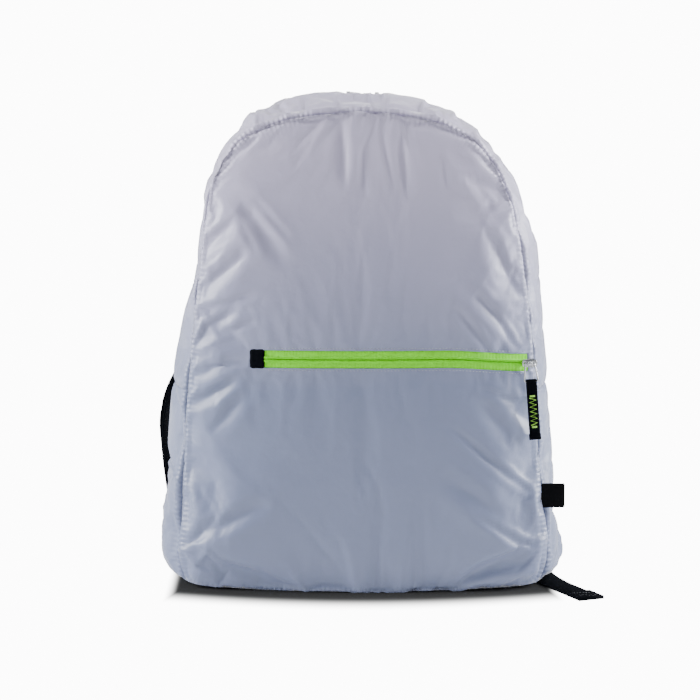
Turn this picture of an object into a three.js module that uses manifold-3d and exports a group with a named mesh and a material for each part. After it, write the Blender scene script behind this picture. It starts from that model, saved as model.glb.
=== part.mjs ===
// Packable daypack of thin nylon, standing on its base, stuffed out to its full form.
// Millimetres, +Z up, the front faces -Y, +X is to the right of someone looking at the front.
// The origin is on the floor, under the middle of the bag.

import * as THREE from 'three';
import { mergeVertices } from 'three/addons/utils/BufferGeometryUtils.js';
import Module from 'manifold-3d';

const wasm = await Module();
wasm.setup();

// Driving dimensions of the bag
const panelWidth = 324;
const panelHeight = 421;
const bagDepth = 148;
const topLean = 16;
const backTopDrop = 10;
const frontFullness = 33;
const backFullness = 9;
const gussetBulge = 20;
const baseBow = 28;
const clothWall = 1.2;
const pieceGap = 0.32;
const foldDepth = 6.5;
const rippleDepth = 1.6;
const crossSeamHeight = 176;

// Forms of the stuffed cloth, as powers and shares
const domeSharpness = 2.6;
const domeFlatness = 0.7;
const sagSharpness = 4;
const sagFlatness = 0.1;
const sagReach = 0.32;
const bowReach = 0.3;
const archFlatness = 0.75;
const foldFade = 8;
const middleShare = 0.45;
const topCorner = 0.7;
const mainRipple = { alongStep: 1.45, acrossStep: 5 };
const crossRipple = { size: 0.6, alongStep: 0.83, acrossStep: 7 };

// Front pocket zip
const pocketZipHeight = 208;
const pocketZipWidth = 15.4;
const pocketZipStart = 99;
const pocketZipEndMargin = 4.5;
const pocketSliderOverhang = 6.8;
const pocketPullLean = -0.078;
const pocketZipDroop = 6;
const tapeThickness = 1.2;
const tapeRecess = 0.35;
const coilWidth = 2.4;
const coilRise = 0.9;
const stopLength = 13;
const stopRise = 0.8;
const stopChamfer = 2.6;
const windowChamfer = 2.7;
const windowSteps = 24;
const tapeSteps = 18;

// Main zip, on the arch between the two gusset strips
const mainZipFrontShare = 0.7;
const crestSkew = 0.82;
const mainZipWidth = 20;
const mainSliderSpacing = 26;
const mainSliderLift = 1;
const mainPullDroop = 0.1;
const sliderProbe = 0.06;

// Sliders, wire loops and pullers
const sliderLength = 13;
const sliderWidth = 8.4;
const sliderThickness = 2.6;
const sliderTail = 0.72;
const sliderNose = 0.5;
const sliderNoseLength = 3.9;
const sliderBevel = 0.4;
const lugSink = 0.5;
const lugRadius = 2.9;
const lugLength = 4.4;
const wireRadius = 0.8;
const wireClearance = 0.4;
const loopTopWidth = 8;
const loopBottomWidth = 12.4;
const loopLength = 16;
const loopCorner = 1.4;
const pullerWidth = 9.6;
const pullerLength = 52;
const pullerThickness = 2.2;
const pullerNeck = 1.5;

// Label in the right seam
const labelReach = 20;
const labelHeight = 22;
const labelThickness = 0.9;
const labelLevel = 82;

// Carrying straps
const strapWidth = 62;
const strapThickness = 7;
const padThickness = 3;
const strapTopOut = 50;
const strapTopDrop = 59;
const webbingWidth = 25;
const webbingThickness = 1.6;
const floorClearance = 0.15;
const backSeat = 0.25;
const buckleWidth = 36;
const buckleLength = 30;
const buckleThickness = 4.4;
const buckleBar = 4.6;
const buckleChamfer = 4;
const slotPlay = 1.2;
const webbingPlay = 0.4;
const webbingLead = 7;
const anchorReach = 26;
const anchorThickness = 2;
const anchorIn = 0.55;
const anchorUp = 0.9;
const haulWidth = 20;
const haulThickness = 1.8;
const haulSpan = 60;
const haulRise = 20;
const haulFootDrop = 45;
const strapSteps = 20;
const strapEnd = 0.55;
const haulSteps = 24;

// Mesh steps
const stepsAcross = 22;
const stepsUp = 28;
const stripSteps = 4;
const baseSteps = 6;
const spanSteps = 2;
const seamSamples = 1000;
const reachCount = 720;

// The seam round the front panel, anticlockwise from the middle of the bottom edge. side is a share of half
// the panel's width, up is a share of its height, bulge is how far the gusset stands out there.
const seamOutline = [
  { side: 0, up: 0, bulge: 0 },
  { side: 0.45, up: 0, bulge: 0 },
  { side: 0.8, up: 0, bulge: 0.15 },
  { side: 0.955, up: 0.011, bulge: 0.95 },
  { side: 1, up: 0.045, bulge: 1.05 },
  { side: 0.999, up: 0.13, bulge: 0.84 },
  { side: 0.975, up: 0.24, bulge: 0.72 },
  { side: 0.948, up: 0.4, bulge: 0.58 },
  { side: 0.93, up: 0.52, bulge: 0.52 },
  { side: 0.896, up: 0.64, bulge: 0.68 },
  { side: 0.85, up: 0.75, bulge: 0.72 },
  { side: 0.782, up: 0.835, bulge: 0.62 },
  { side: 0.702, up: 0.9, bulge: 0.44 },
  { side: 0.592, up: 0.946, bulge: 0.5 },
  { side: 0.4, up: 0.982, bulge: 0.86 },
  { side: 0.12, up: 0.998, bulge: 1.02 },
  { side: -0.15, up: 1, bulge: 1.04 },
  { side: -0.4, up: 0.988, bulge: 1 },
  { side: -0.58, up: 0.963, bulge: 0.86 },
  { side: -0.72, up: 0.925, bulge: 0.45 },
  { side: -0.81, up: 0.865, bulge: 0.27 },
  { side: -0.862, up: 0.78, bulge: 0.15 },
  { side: -0.898, up: 0.67, bulge: 0.17 },
  { side: -0.932, up: 0.54, bulge: 0.5 },
  { side: -0.966, up: 0.4, bulge: 0.74 },
  { side: -0.992, up: 0.24, bulge: 0.86 },
  { side: -1, up: 0.13, bulge: 0.98 },
  { side: -1, up: 0.045, bulge: 1.05 },
  { side: -0.955, up: 0.011, bulge: 0.95 },
  { side: -0.8, up: 0, bulge: 0.15 },
  { side: -0.45, up: 0, bulge: 0 },
];

// How full the front panel stands, by height
const fullness = [
  { up: 0, front: 1 },
  { up: 0.3, front: 1 },
  { up: 0.5, front: 0.94 },
  { up: 0.75, front: 0.78 },
  { up: 0.92, front: 0.6 },
  { up: 1, front: 0.55 },
];

// Folds of the front panel, each a valley between two low ridges.
// Places and widths are shares of half the width (side) and of the height (up), depth of the fold depth.
const frontFolds = [
  { fromSide: -0.74, fromUp: 0.86, toSide: -0.4, toUp: 0.68, width: 0.07, depth: 0.8 },
  { fromSide: -0.9, fromUp: 0.72, toSide: -0.52, toUp: 0.82, width: 0.06, depth: 0.7 },
  { fromSide: -0.94, fromUp: 0.6, toSide: -0.6, toUp: 0.73, width: 0.06, depth: 0.8 },
  { fromSide: -0.96, fromUp: 0.51, toSide: -0.66, toUp: 0.61, width: 0.05, depth: 0.7 },
  { fromSide: -0.62, fromUp: 0.49, toSide: -0.97, toUp: 0.45, width: 0.05, depth: 0.7 },
  { fromSide: -0.64, fromUp: 0.46, toSide: -0.98, toUp: 0.38, width: 0.05, depth: 0.8 },
  { fromSide: -0.6, fromUp: 0.44, toSide: -0.9, toUp: 0.3, width: 0.06, depth: 0.6 },
  { fromSide: -0.12, fromUp: 0.99, toSide: -0.1, toUp: 0.84, width: 0.05, depth: 0.6 },
  { fromSide: 0.18, fromUp: 0.98, toSide: 0.24, toUp: 0.82, width: 0.06, depth: 0.6 },
  { fromSide: 0.62, fromUp: 0.8, toSide: 0.9, toUp: 0.58, width: 0.07, depth: 0.9 },
  { fromSide: 0.5, fromUp: 0.66, toSide: 0.92, toUp: 0.52, width: 0.06, depth: 0.6 },
  { fromSide: 0.6, fromUp: 0.42, toSide: 0.96, toUp: 0.25, width: 0.07, depth: 0.8 },
  { fromSide: 0.36, fromUp: 0.27, toSide: 0.97, toUp: 0.1, width: 0.08, depth: 0.7 },
  { fromSide: 0.56, fromUp: 0.05, toSide: 0.95, toUp: 0.06, width: 0.06, depth: 0.7 },
  { fromSide: -0.5, fromUp: 0.2, toSide: -0.97, toUp: 0.1, width: 0.07, depth: 0.7 },
];

// Routes of the carrying straps, worn side towards the back panel.
// out is a share of half the panel's width, behind of the bag's depth past the back seam, up of the height.
const strapRoutes = {
  right: {
    sign: 1,
    pad: [
      { out: 0.31, behind: 0.15, up: 0.845 },
      { out: 0.32, behind: 0.33, up: 0.76 },
      { out: 0.38, behind: 0.46, up: 0.66 },
      { out: 0.52, behind: 0.5, up: 0.56 },
      { out: 0.68, behind: 0.45, up: 0.475 },
    ],
    lower: [
      { out: 0.82, behind: 0.27, up: 0.3, turn: 10 },
      { out: 0.9, behind: 0.16, up: 0.17, turn: 10 },
    ],
    tail: [
      { out: 0.94, behind: 0.42, up: 0.27, turn: 0 },
      { out: 1.0, behind: 0.42, up: 0.13, turn: 0 },
      { out: 1.03, behind: 0.36, up: 0.03, turn: 0 },
      { out: 1.03, behind: 0.2, up: 0, turn: 0 },
      { out: 0.99, behind: -0.3, up: 0, turn: 0 },
      { out: 0.985, behind: -0.64, up: 0, turn: 0 },
      { out: 1.05, behind: -0.94, up: 0, turn: 0 },
      { out: 1.16, behind: -1.22, up: 0, turn: 0 },
      { out: 1.235, behind: -1.4, up: 0, turn: 0 },
    ],
  },
  left: {
    sign: -1,
    pad: [
      { out: 0.31, behind: 0.15, up: 0.845 },
      { out: 0.33, behind: 0.34, up: 0.76 },
      { out: 0.43, behind: 0.46, up: 0.67 },
      { out: 0.62, behind: 0.48, up: 0.565 },
      { out: 0.84, behind: 0.4, up: 0.47 },
    ],
    lower: [
      { out: 1.13, behind: 0.24, up: 0.3, turn: 70 },
      { out: 1.08, behind: 0.14, up: 0.16, turn: 60 },
    ],
    tail: [
      { out: 1.13, behind: 0.5, up: 0.3, turn: 40 },
      { out: 1.12, behind: 0.52, up: 0.2, turn: 20 },
      { out: 1.08, behind: 0.52, up: 0.08, turn: 10 },
    ],
  },
};

const colours = {
  cloth: 0x9ea0b2,
  green: 0x7dc832,
  black: 0x0b0d14,
  silver: 0xb9bcc2,
  grey: 0x8f93a0,
};

const halfWidth = panelWidth / 2;
const backHeightShare = (panelHeight - backTopDrop) / panelHeight;
const strapTopHeight = panelHeight - strapTopDrop;
const haulFoot = panelHeight - haulFootDrop;
const group = new THREE.Group();

function material(colour, roughness, metalness) {
  return new THREE.MeshStandardMaterial({ color: colour, roughness, metalness });
}

const looks = {
  cloth: material(colours.cloth, 0.45, 0),
  green: material(colours.green, 0.5, 0),
  black: material(colours.black, 0.6, 0),
  silver: material(colours.silver, 0.25, 1),
  grey: material(colours.grey, 0.6, 0),
};

function addMesh(name, geometry, look, parent = group) {
  const mesh = new THREE.Mesh(geometry, look);
  mesh.name = name;
  parent.add(mesh);
  return mesh;
}

// Small helpers for smooth tables and closed solids

function smoothstep(low, high, value) {
  const share = Math.min(1, Math.max(0, (value - low) / (high - low)));
  return share * share * (3 - 2 * share);
}

function lookUp(table, key, value, column) {
  const last = table.length - 1;
  let row = 0;
  while (row < last - 1 && value > table[row + 1][key]) row += 1;
  const share = smoothstep(table[row][key], table[row + 1][key], value);
  return table[row][column] + share * (table[row + 1][column] - table[row][column]);
}

function signedVolume(points, faces) {
  let sum = 0;
  const crossed = new THREE.Vector3();
  for (const [a, b, c] of faces) {
    crossed.crossVectors(points[b], points[c]);
    sum += points[a].dot(crossed) / 6;
  }
  return sum;
}

function solidGeometry(points, faces) {
  const outward = signedVolume(points, faces) > 0;
  const geometry = new THREE.BufferGeometry();
  const flat = new Float32Array(points.length * 3);
  points.forEach((point, index) => point.toArray(flat, index * 3));
  geometry.setAttribute('position', new THREE.BufferAttribute(flat, 3));
  geometry.setIndex(faces.flatMap(([a, b, c]) => (outward ? [a, b, c] : [a, c, b])));
  return geometry;
}

// A wall between two grids of points, outer[row][column] and inner[row][column]
function wallGeometry(outer, inner) {
  const rows = outer.length;
  const columns = outer[0].length;
  const points = [...outer.flat(), ...inner.flat()];
  const innerStart = rows * columns;
  const faces = [];
  const outerAt = (row, column) => row * columns + column;
  const innerAt = (row, column) => innerStart + outerAt(row, column);
  for (let row = 0; row < rows - 1; row += 1) {
    for (let column = 0; column < columns - 1; column += 1) {
      const corners = [[row, column], [row, column + 1], [row + 1, column + 1], [row + 1, column]];
      const [a, b, c, d] = corners.map(([r, k]) => outerAt(r, k));
      const [e, f, g, h] = corners.map(([r, k]) => innerAt(r, k));
      faces.push([a, b, c], [a, c, d], [e, g, f], [e, h, g]);
    }
  }
  const rim = [];
  for (let column = 0; column < columns - 1; column += 1) rim.push([0, column]);
  for (let row = 0; row < rows - 1; row += 1) rim.push([row, columns - 1]);
  for (let column = columns - 1; column > 0; column -= 1) rim.push([rows - 1, column]);
  for (let row = rows - 1; row > 0; row -= 1) rim.push([row, 0]);
  rim.forEach(([row, column], index) => {
    const [nextRow, nextColumn] = rim[(index + 1) % rim.length];
    const a = outerAt(row, column);
    const b = outerAt(nextRow, nextColumn);
    const c = innerAt(nextRow, nextColumn);
    const d = innerAt(row, column);
    faces.push([a, c, b], [a, d, c]);
  });
  return solidGeometry(points, faces);
}

// A solid lofted through closed rings of points, with a fan over each end
function loftGeometry(rings) {
  const count = rings[0].length;
  const points = rings.flat();
  const faces = [];
  for (let ring = 0; ring < rings.length - 1; ring += 1) {
    for (let side = 0; side < count; side += 1) {
      const next = (side + 1) % count;
      const a = ring * count + side;
      const b = ring * count + next;
      faces.push([a, b, b + count], [a, b + count, a + count]);
    }
  }
  const lastRing = (rings.length - 1) * count;
  for (let side = 1; side < count - 1; side += 1) {
    faces.push([0, side + 1, side], [lastRing, lastRing + side, lastRing + side + 1]);
  }
  return solidGeometry(points, faces);
}

// Normals of a grid of points, turned to point the same way as the hint
function gridNormals(grid, hintAt) {
  const rows = grid.length;
  const columns = grid[0].length;
  return grid.map((line, row) => line.map((point, column) => {
    const along = new THREE.Vector3().subVectors(
      line[Math.min(column + 1, columns - 1)], line[Math.max(column - 1, 0)]);
    const up = new THREE.Vector3().subVectors(
      grid[Math.min(row + 1, rows - 1)][column], grid[Math.max(row - 1, 0)][column]);
    const normal = new THREE.Vector3().crossVectors(along, up).normalize();
    return normal.dot(hintAt(row, column)) < 0 ? normal.negate() : normal;
  }));
}

function toManifold(geometry) {
  const bare = geometry.clone();
  bare.deleteAttribute('normal');
  bare.deleteAttribute('uv');
  const merged = mergeVertices(bare, 1e-4);
  return new wasm.Manifold(new wasm.Mesh({
    numProp: 3,
    vertProperties: new Float32Array(merged.attributes.position.array),
    triVerts: new Uint32Array(merged.index.array),
  }));
}

function fromManifold(solid) {
  const mesh = solid.getMesh();
  const geometry = new THREE.BufferGeometry();
  geometry.setAttribute('position', new THREE.BufferAttribute(new Float32Array(mesh.vertProperties), 3));
  geometry.setIndex(Array.from(mesh.triVerts));
  return geometry;
}

// The seam curve and the surfaces hung on it

const seamCurve = new THREE.CatmullRomCurve3(
  seamOutline.map(({ side, up }) => new THREE.Vector3(side * halfWidth, 0, up * panelHeight)),
  true, 'centripetal');
const bulgeCurve = new THREE.CatmullRomCurve3(
  seamOutline.map(({ side, up, bulge }) => (
    new THREE.Vector3(side * halfWidth, bulge * gussetBulge, up * panelHeight))),
  true, 'centripetal');

function seamPoint(share) {
  const point = seamCurve.getPointAt(((share % 1) + 1) % 1);
  point.z = Math.max(0, point.z);
  return point;
}

// The gusset's bulge at a share of the seam's length
function seamBulge(share) {
  const along = seamCurve.getUtoTmapping(((share % 1) + 1) % 1, null);
  return Math.max(0, bulgeCurve.getPoint(along).y);
}

const stationCount = 2 * (stepsAcross + stepsUp);
const cornerShares = findCorners();
const stations = makeStations();
const outlineMiddle = new THREE.Vector3(0, 0, panelHeight * middleShare);
const reachSamples = sampleReach(reachCount);

// Shares of the seam's length at the four corners of the panel: lower right, upper right, upper left, lower left
function findCorners() {
  const wanted = [[1, 0], [topCorner, 1], [-topCorner, 1], [-1, 0]];
  return wanted.map(([side, up]) => {
    const target = new THREE.Vector3(side * halfWidth, 0, up * panelHeight);
    let best = 0;
    let bestDistance = Infinity;
    for (let step = 0; step < seamSamples; step += 1) {
      const distance = seamPoint(step / seamSamples).distanceTo(target);
      if (distance < bestDistance) {
        bestDistance = distance;
        best = step / seamSamples;
      }
    }
    return best;
  });
}

// Stations run from the lower left corner, along the bottom, up the right side, over the top and down the left
function makeStations() {
  const [lowerRight, upperRight, upperLeft, lowerLeft] = cornerShares;
  const runs = [
    [lowerLeft - 1, lowerRight, stepsAcross],
    [lowerRight, upperRight, stepsUp],
    [upperRight, upperLeft, stepsAcross],
    [upperLeft, lowerLeft, stepsUp],
  ];
  const shares = runs.flatMap(([from, to, steps]) => (
    Array.from({ length: steps }, (_, step) => from + (to - from) * (step / steps))));
  return shares.map((share) => {
    const step = 2 / seamSamples;
    const ahead = seamPoint(share + step).sub(seamPoint(share - step)).normalize();
    const outward = new THREE.Vector3(ahead.z, 0, -ahead.x);
    return { point: seamPoint(share), outward, bulge: seamBulge(share) };
  });
}

function sampleReach(count) {
  const samples = [];
  for (let step = 0; step < count; step += 1) {
    const arm = seamPoint(step / count).sub(outlineMiddle);
    samples.push({ angle: Math.atan2(arm.z, arm.x), radius: arm.length() });
  }
  return samples.sort((a, b) => a.angle - b.angle);
}

// 0 in the middle of the panel, 1 on its seam
function rimShare(x, z) {
  const armX = x - outlineMiddle.x;
  const armZ = z - outlineMiddle.z;
  const angle = Math.atan2(armZ, armX);
  let low = 0;
  let high = reachSamples.length - 1;
  while (high - low > 1) {
    const middle = (low + high) >> 1;
    if (reachSamples[middle].angle <= angle) low = middle;
    else high = middle;
  }
  const from = reachSamples[low];
  const to = reachSamples[high];
  const share = Math.min(1, Math.max(0, (angle - from.angle) / (to.angle - from.angle)));
  const radius = from.radius + share * (to.radius - from.radius);
  return Math.min(1, Math.hypot(armX, armZ) / radius);
}

// The plane that the front panel's seam lies in, leaning back towards the top
function frontPlaneY(z) {
  return -bagDepth / 2 + topLean * (z / panelHeight) ** 2;
}

// The base pushes the bottom seam forward between its corners
function seamBow(x, z) {
  const low = 1 - smoothstep(0, bowReach, z / panelHeight);
  return baseBow * low * Math.max(0, 1 - (x / halfWidth) ** 2);
}

function frontSeamY(x, z) {
  return frontPlaneY(z) - seamBow(x, z);
}

function backSeamY(z) {
  return bagDepth / 2 - (topLean / 2) * (z / panelHeight) ** 2;
}

function crown(rim) {
  return Math.max(0, 1 - rim ** domeSharpness) ** domeFlatness;
}

// The lower part of the front is fuller towards its rim, because the filling sags
function frontCrown(rim, z) {
  const low = 1 - smoothstep(0, sagReach, z / panelHeight);
  const dome = Math.max(0, 1 - rim ** (domeSharpness + sagSharpness * low));
  return dome ** (domeFlatness - sagFlatness * low);
}

function foldRelief(x, z) {
  let relief = 0;
  for (const fold of frontFolds) {
    const fromX = fold.fromSide * halfWidth;
    const fromZ = fold.fromUp * panelHeight;
    const runX = fold.toSide * halfWidth - fromX;
    const runZ = fold.toUp * panelHeight - fromZ;
    const length = Math.hypot(runX, runZ);
    const along = ((x - fromX) * runX + (z - fromZ) * runZ) / (length * length);
    if (along <= 0 || along >= 1) continue;
    const across = ((x - fromX) * runZ - (z - fromZ) * runX) / length;
    const spread = (across / (fold.width * halfWidth)) ** 2;
    relief += fold.depth * foldDepth * Math.sin(Math.PI * along) * (1 - 2 * spread) * Math.exp(-spread);
  }
  return relief;
}

function frontY(x, z) {
  const rim = rimShare(x, z);
  const full = frontFullness * lookUp(fullness, 'up', z / panelHeight, 'front');
  const domed = frontCrown(rim, z);
  return frontPlaneY(z) - full * domed - seamBow(x, z) * (1 - domed) + foldRelief(x, z) * (1 - rim ** foldFade);
}

function backY(x, z) {
  return backSeamY(z) + backFullness * crown(rimShare(x, z / backHeightShare));
}

function frontStation(index) {
  const { point } = stations[(index + stationCount) % stationCount];
  return new THREE.Vector3(point.x, frontSeamY(point.x, point.z), point.z);
}

// The back seam has half as many corners, so the back panel can be coarser
function backStation(index) {
  const at = (i) => {
    const { point } = stations[(i + stationCount) % stationCount];
    const z = point.z * backHeightShare;
    return new THREE.Vector3(point.x, backSeamY(z), z);
  };
  return index % 2 === 0 ? at(index) : at(index - 1).lerp(at(index + 1), 0.5);
}

function gussetPoint(index, depthShare) {
  const station = stations[(index + stationCount) % stationCount];
  const { outward } = station;
  const spine = frontStation(index).lerp(backStation(index), depthShare);
  const offFloor = smoothstep(-1, -0.5, outward.z);
  const arch = Math.sin(Math.PI * depthShare ** crestSkew) ** archFlatness;
  const mainWave = Math.sin(index * mainRipple.alongStep + depthShare * mainRipple.acrossStep);
  const crossWave = Math.sin(index * crossRipple.alongStep - depthShare * crossRipple.acrossStep);
  const waves = (mainWave + crossRipple.size * crossWave) / 2;
  const ripple = rippleDepth * waves * offFloor * Math.sin(Math.PI * depthShare) ** 2;
  const reach = station.bulge * arch + ripple;
  spine.x += outward.x * reach;
  spine.z += Math.max(0, outward.z) * reach;
  return spine;
}

// Inner edge of a seam: one wall in from both of the panels that meet there
function seamInner(index, seam, backwards) {
  const { outward } = stations[(index + stationCount) % stationCount];
  return seam.clone().addScaledVector(outward, -clothWall).add(new THREE.Vector3(0, backwards * clothWall, 0));
}

// A panel filled in between the four runs of the seam
function panelGrid(across, up, stationAt, yAt) {
  const stride = stepsAcross / across;
  const at = (index) => stationAt(Math.round(index * stride));
  const bottom = (i) => at(i);
  const right = (j) => at(across + j);
  const top = (i) => at(2 * across + up - i);
  const left = (j) => at(2 * across + 2 * up - j);
  const grid = [];
  for (let j = 0; j <= up; j += 1) {
    const line = [];
    const v = j / up;
    for (let i = 0; i <= across; i += 1) {
      const u = i / across;
      const blend = new THREE.Vector3()
        .addScaledVector(bottom(i), 1 - v).addScaledVector(top(i), v)
        .addScaledVector(left(j), 1 - u).addScaledVector(right(j), u)
        .addScaledVector(bottom(0), -(1 - u) * (1 - v)).addScaledVector(bottom(across), -u * (1 - v))
        .addScaledVector(top(0), -(1 - u) * v).addScaledVector(top(across), -u * v);
      const onRim = i === 0 || j === 0 || i === across || j === up;
      if (!onRim) blend.y = yAt(blend.x, blend.z);
      line.push(blend);
    }
    grid.push(line);
  }
  return grid;
}

function rimIndex(i, j, across, up) {
  const stride = stepsAcross / across;
  if (j === 0) return Math.round(i * stride);
  if (i === across) return Math.round((across + j) * stride);
  if (j === up) return Math.round((2 * across + up - i) * stride);
  return Math.round((2 * across + 2 * up - j) * stride);
}

function panelGeometry(across, up, stationAt, yAt, faceY) {
  const outer = panelGrid(across, up, stationAt, yAt);
  const normals = gridNormals(outer, () => new THREE.Vector3(0, faceY, 0));
  const inner = outer.map((line, j) => line.map((point, i) => {
    const onRim = i === 0 || j === 0 || i === across || j === up;
    if (!onRim) return point.clone().addScaledVector(normals[j][i], -clothWall);
    return seamInner(rimIndex(i, j, across, up), point, -faceY);
  }));
  for (const grid of [outer, inner]) {
    grid.forEach((line, j) => line.forEach((point, i) => {
      const onRim = i === 0 || j === 0 || i === across || j === up;
      if (!onRim) return;
      const { outward } = stations[rimIndex(i, j, across, up) % stationCount];
      point.addScaledVector(outward, -pieceGap * 0.7);
    }));
  }
  return wallGeometry(outer, inner);
}

// A strip of the gusset between two stations and two shares of the depth
function gussetStrip(fromIndex, toIndex, fromShare, toShare, steps, thickness = clothWall) {
  const outer = [];
  for (let index = fromIndex; index <= toIndex; index += 1) {
    const line = [];
    for (let step = 0; step <= steps; step += 1) {
      line.push(gussetPoint(index, fromShare + (toShare - fromShare) * (step / steps)));
    }
    outer.push(line);
  }
  const outwardAt = (row) => stations[(fromIndex + row + stationCount) % stationCount].outward;
  const normals = gridNormals(outer, outwardAt);
  const inner = outer.map((line, row) => line.map((point, column) => {
    const index = fromIndex + row;
    if (column === 0 && fromShare === 0) return seamInner(index, point, 1);
    if (column === steps && toShare === 1) return seamInner(index, point, -1);
    return point.clone().addScaledVector(normals[row][column], -thickness);
  }));
  const sideShift = pieceGap * 0.7;
  const endShift = pieceGap * 0.5;
  for (const grid of [outer, inner]) {
    grid.forEach((line) => {
      line[0].y += fromShare === 0 ? sideShift : endShift;
      line[steps].y -= toShare === 1 ? sideShift : endShift;
    });
    const last = grid.length - 1;
    const startAhead = new THREE.Vector3().subVectors(grid[1][1], grid[0][1]).normalize();
    const endAhead = new THREE.Vector3().subVectors(grid[last][1], grid[last - 1][1]).normalize();
    grid[0].forEach((point) => point.addScaledVector(startAhead, endShift));
    grid[last].forEach((point) => point.addScaledVector(endAhead, -endShift));
  }
  return wallGeometry(outer, inner);
}

function stationAtHeight(height, side) {
  let best = 0;
  let bestDistance = Infinity;
  stations.forEach(({ point }, index) => {
    if (Math.sign(point.x) !== side) return;
    const distance = Math.abs(point.z - height);
    if (distance < bestDistance) {
      bestDistance = distance;
      best = index;
    }
  });
  return best;
}

const rightCross = stationAtHeight(crossSeamHeight, 1);
const leftCross = stationAtHeight(crossSeamHeight, -1);

// Front pocket zip: the middle line droops towards the seam on the right

function pocketSeamX() {
  const station = stations[stationAtHeight(pocketZipHeight, 1)];
  return station.point.x;
}

function pocketZipLine(x) {
  return pocketZipHeight - pocketZipDroop * smoothstep(0.45, 1.05, x / pocketSeamX());
}

const pocketZipLeft = -pocketZipStart;
const pocketZipRight = pocketSeamX() - pocketZipEndMargin;

function pocketWindowCutter() {
  const outline = new THREE.Shape();
  const half = pocketZipWidth / 2;
  const chamfer = windowChamfer;
  const steps = windowSteps;
  outline.moveTo(pocketZipLeft + chamfer, pocketZipLine(pocketZipLeft) - half);
  for (let step = 1; step <= steps; step += 1) {
    const x = pocketZipLeft + chamfer + (pocketZipRight - pocketZipLeft - chamfer) * (step / steps);
    outline.lineTo(x, pocketZipLine(x) - half);
  }
  for (let step = steps; step >= 0; step -= 1) {
    const x = pocketZipLeft + chamfer + (pocketZipRight - pocketZipLeft - chamfer) * (step / steps);
    outline.lineTo(x, pocketZipLine(x) + half);
  }
  outline.lineTo(pocketZipLeft, pocketZipLine(pocketZipLeft) + half - chamfer);
  outline.lineTo(pocketZipLeft, pocketZipLine(pocketZipLeft) - half + chamfer);
  outline.closePath();
  const cutter = new THREE.ExtrudeGeometry(outline, { depth: bagDepth, bevelEnabled: false });
  cutter.rotateX(Math.PI / 2);
  return cutter;
}

function makeFrontPanel() {
  const panel = panelGeometry(stepsAcross, stepsUp, frontStation, frontY, -1);
  const cut = toManifold(panel).subtract(toManifold(pocketWindowCutter()));
  addMesh('front_panel', fromManifold(cut), looks.cloth);
}

// One half of the pocket zip: a flat tape with its half of the coil raised along the middle
function pocketTape(side) {
  const from = pocketZipLeft + stopLength + pieceGap;
  const to = pocketZipRight - pieceGap;
  const edge = pocketZipWidth / 2 - pieceGap;
  const offsets = [
    { across: pieceGap / 2, rise: coilRise },
    { across: coilWidth / 2, rise: coilRise },
    { across: coilWidth / 2 + 0.5, rise: 0 },
    { across: edge, rise: 0 },
  ];
  const steps = tapeSteps;
  const outer = [];
  const inner = [];
  for (let step = 0; step <= steps; step += 1) {
    const x = from + (to - from) * (step / steps);
    const level = pocketZipLine(x);
    const surfaceY = frontY(x, level) + tapeRecess;
    const slope = (frontY(x, level + 2) - frontY(x, level - 2)) / 4;
    const at = ({ across, rise }) => new THREE.Vector3(
      x, surfaceY + slope * side * across - rise, level + side * across);
    outer.push(offsets.map(at));
    inner.push(offsets.map((offset) => at({ across: offset.across, rise: -tapeThickness })));
  }
  return wallGeometry(outer, inner);
}

function pocketStop() {
  const from = pocketZipLeft + pieceGap;
  const to = pocketZipLeft + stopLength;
  const edge = pocketZipWidth / 2 - pieceGap;
  const steps = stripSteps;
  const outer = [];
  const inner = [];
  for (let step = 0; step <= steps; step += 1) {
    const x = from + (to - from) * (step / steps);
    const level = pocketZipLine(x);
    const reach = edge - stopChamfer * Math.max(0, 1 - step);
    const line = (rise) => [-1, -0.5, 0, 0.5, 1].map((share) => {
      const z = level + share * reach;
      return new THREE.Vector3(x, frontY(x, z) - rise, z);
    });
    outer.push(line(stopRise));
    inner.push(line(-tapeThickness - tapeRecess));
  }
  return wallGeometry(outer, inner);
}

function makePocketZip() {
  addMesh('pocket_zip_tape_upper', pocketTape(1), looks.green);
  addMesh('pocket_zip_tape_lower', pocketTape(-1), looks.green);
  addMesh('pocket_zip_stop', pocketStop(), looks.black);
}

// A zip pull in its own frame: x along the zip, -y away from the cloth, the puller hanging to -z.
// The wire loop turns on its top bar, which passes through the lug's eye.
const lugCentre = sliderThickness + lugRadius - lugSink;

function sliderGeometry() {
  const half = sliderWidth / 2;
  const end = sliderLength / 2;
  const body = new THREE.Shape();
  body.moveTo(-end, -half * sliderTail);
  body.lineTo(end - sliderNoseLength, -half);
  body.lineTo(end, -half * sliderNose);
  body.lineTo(end, half * sliderNose);
  body.lineTo(end - sliderNoseLength, half);
  body.lineTo(-end, half * sliderTail);
  body.closePath();
  const plate = new THREE.ExtrudeGeometry(body, {
    depth: sliderThickness - 2 * sliderBevel,
    bevelEnabled: true,
    bevelThickness: sliderBevel,
    bevelSize: sliderBevel,
    bevelOffset: -sliderBevel,
    bevelSegments: 1,
  });
  plate.translate(0, 0, sliderBevel);
  plate.rotateX(Math.PI / 2);
  const lug = new THREE.CylinderGeometry(lugRadius, lugRadius, lugLength, 14);
  lug.rotateZ(Math.PI / 2);
  lug.translate(0, -lugCentre, 0);
  const eye = new THREE.CylinderGeometry(wireRadius + wireClearance, wireRadius + wireClearance, lugLength * 2, 10);
  eye.rotateZ(Math.PI / 2);
  eye.translate(0, -lugCentre, 0);
  return fromManifold(toManifold(plate).add(toManifold(lug)).subtract(toManifold(eye)));
}

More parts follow.
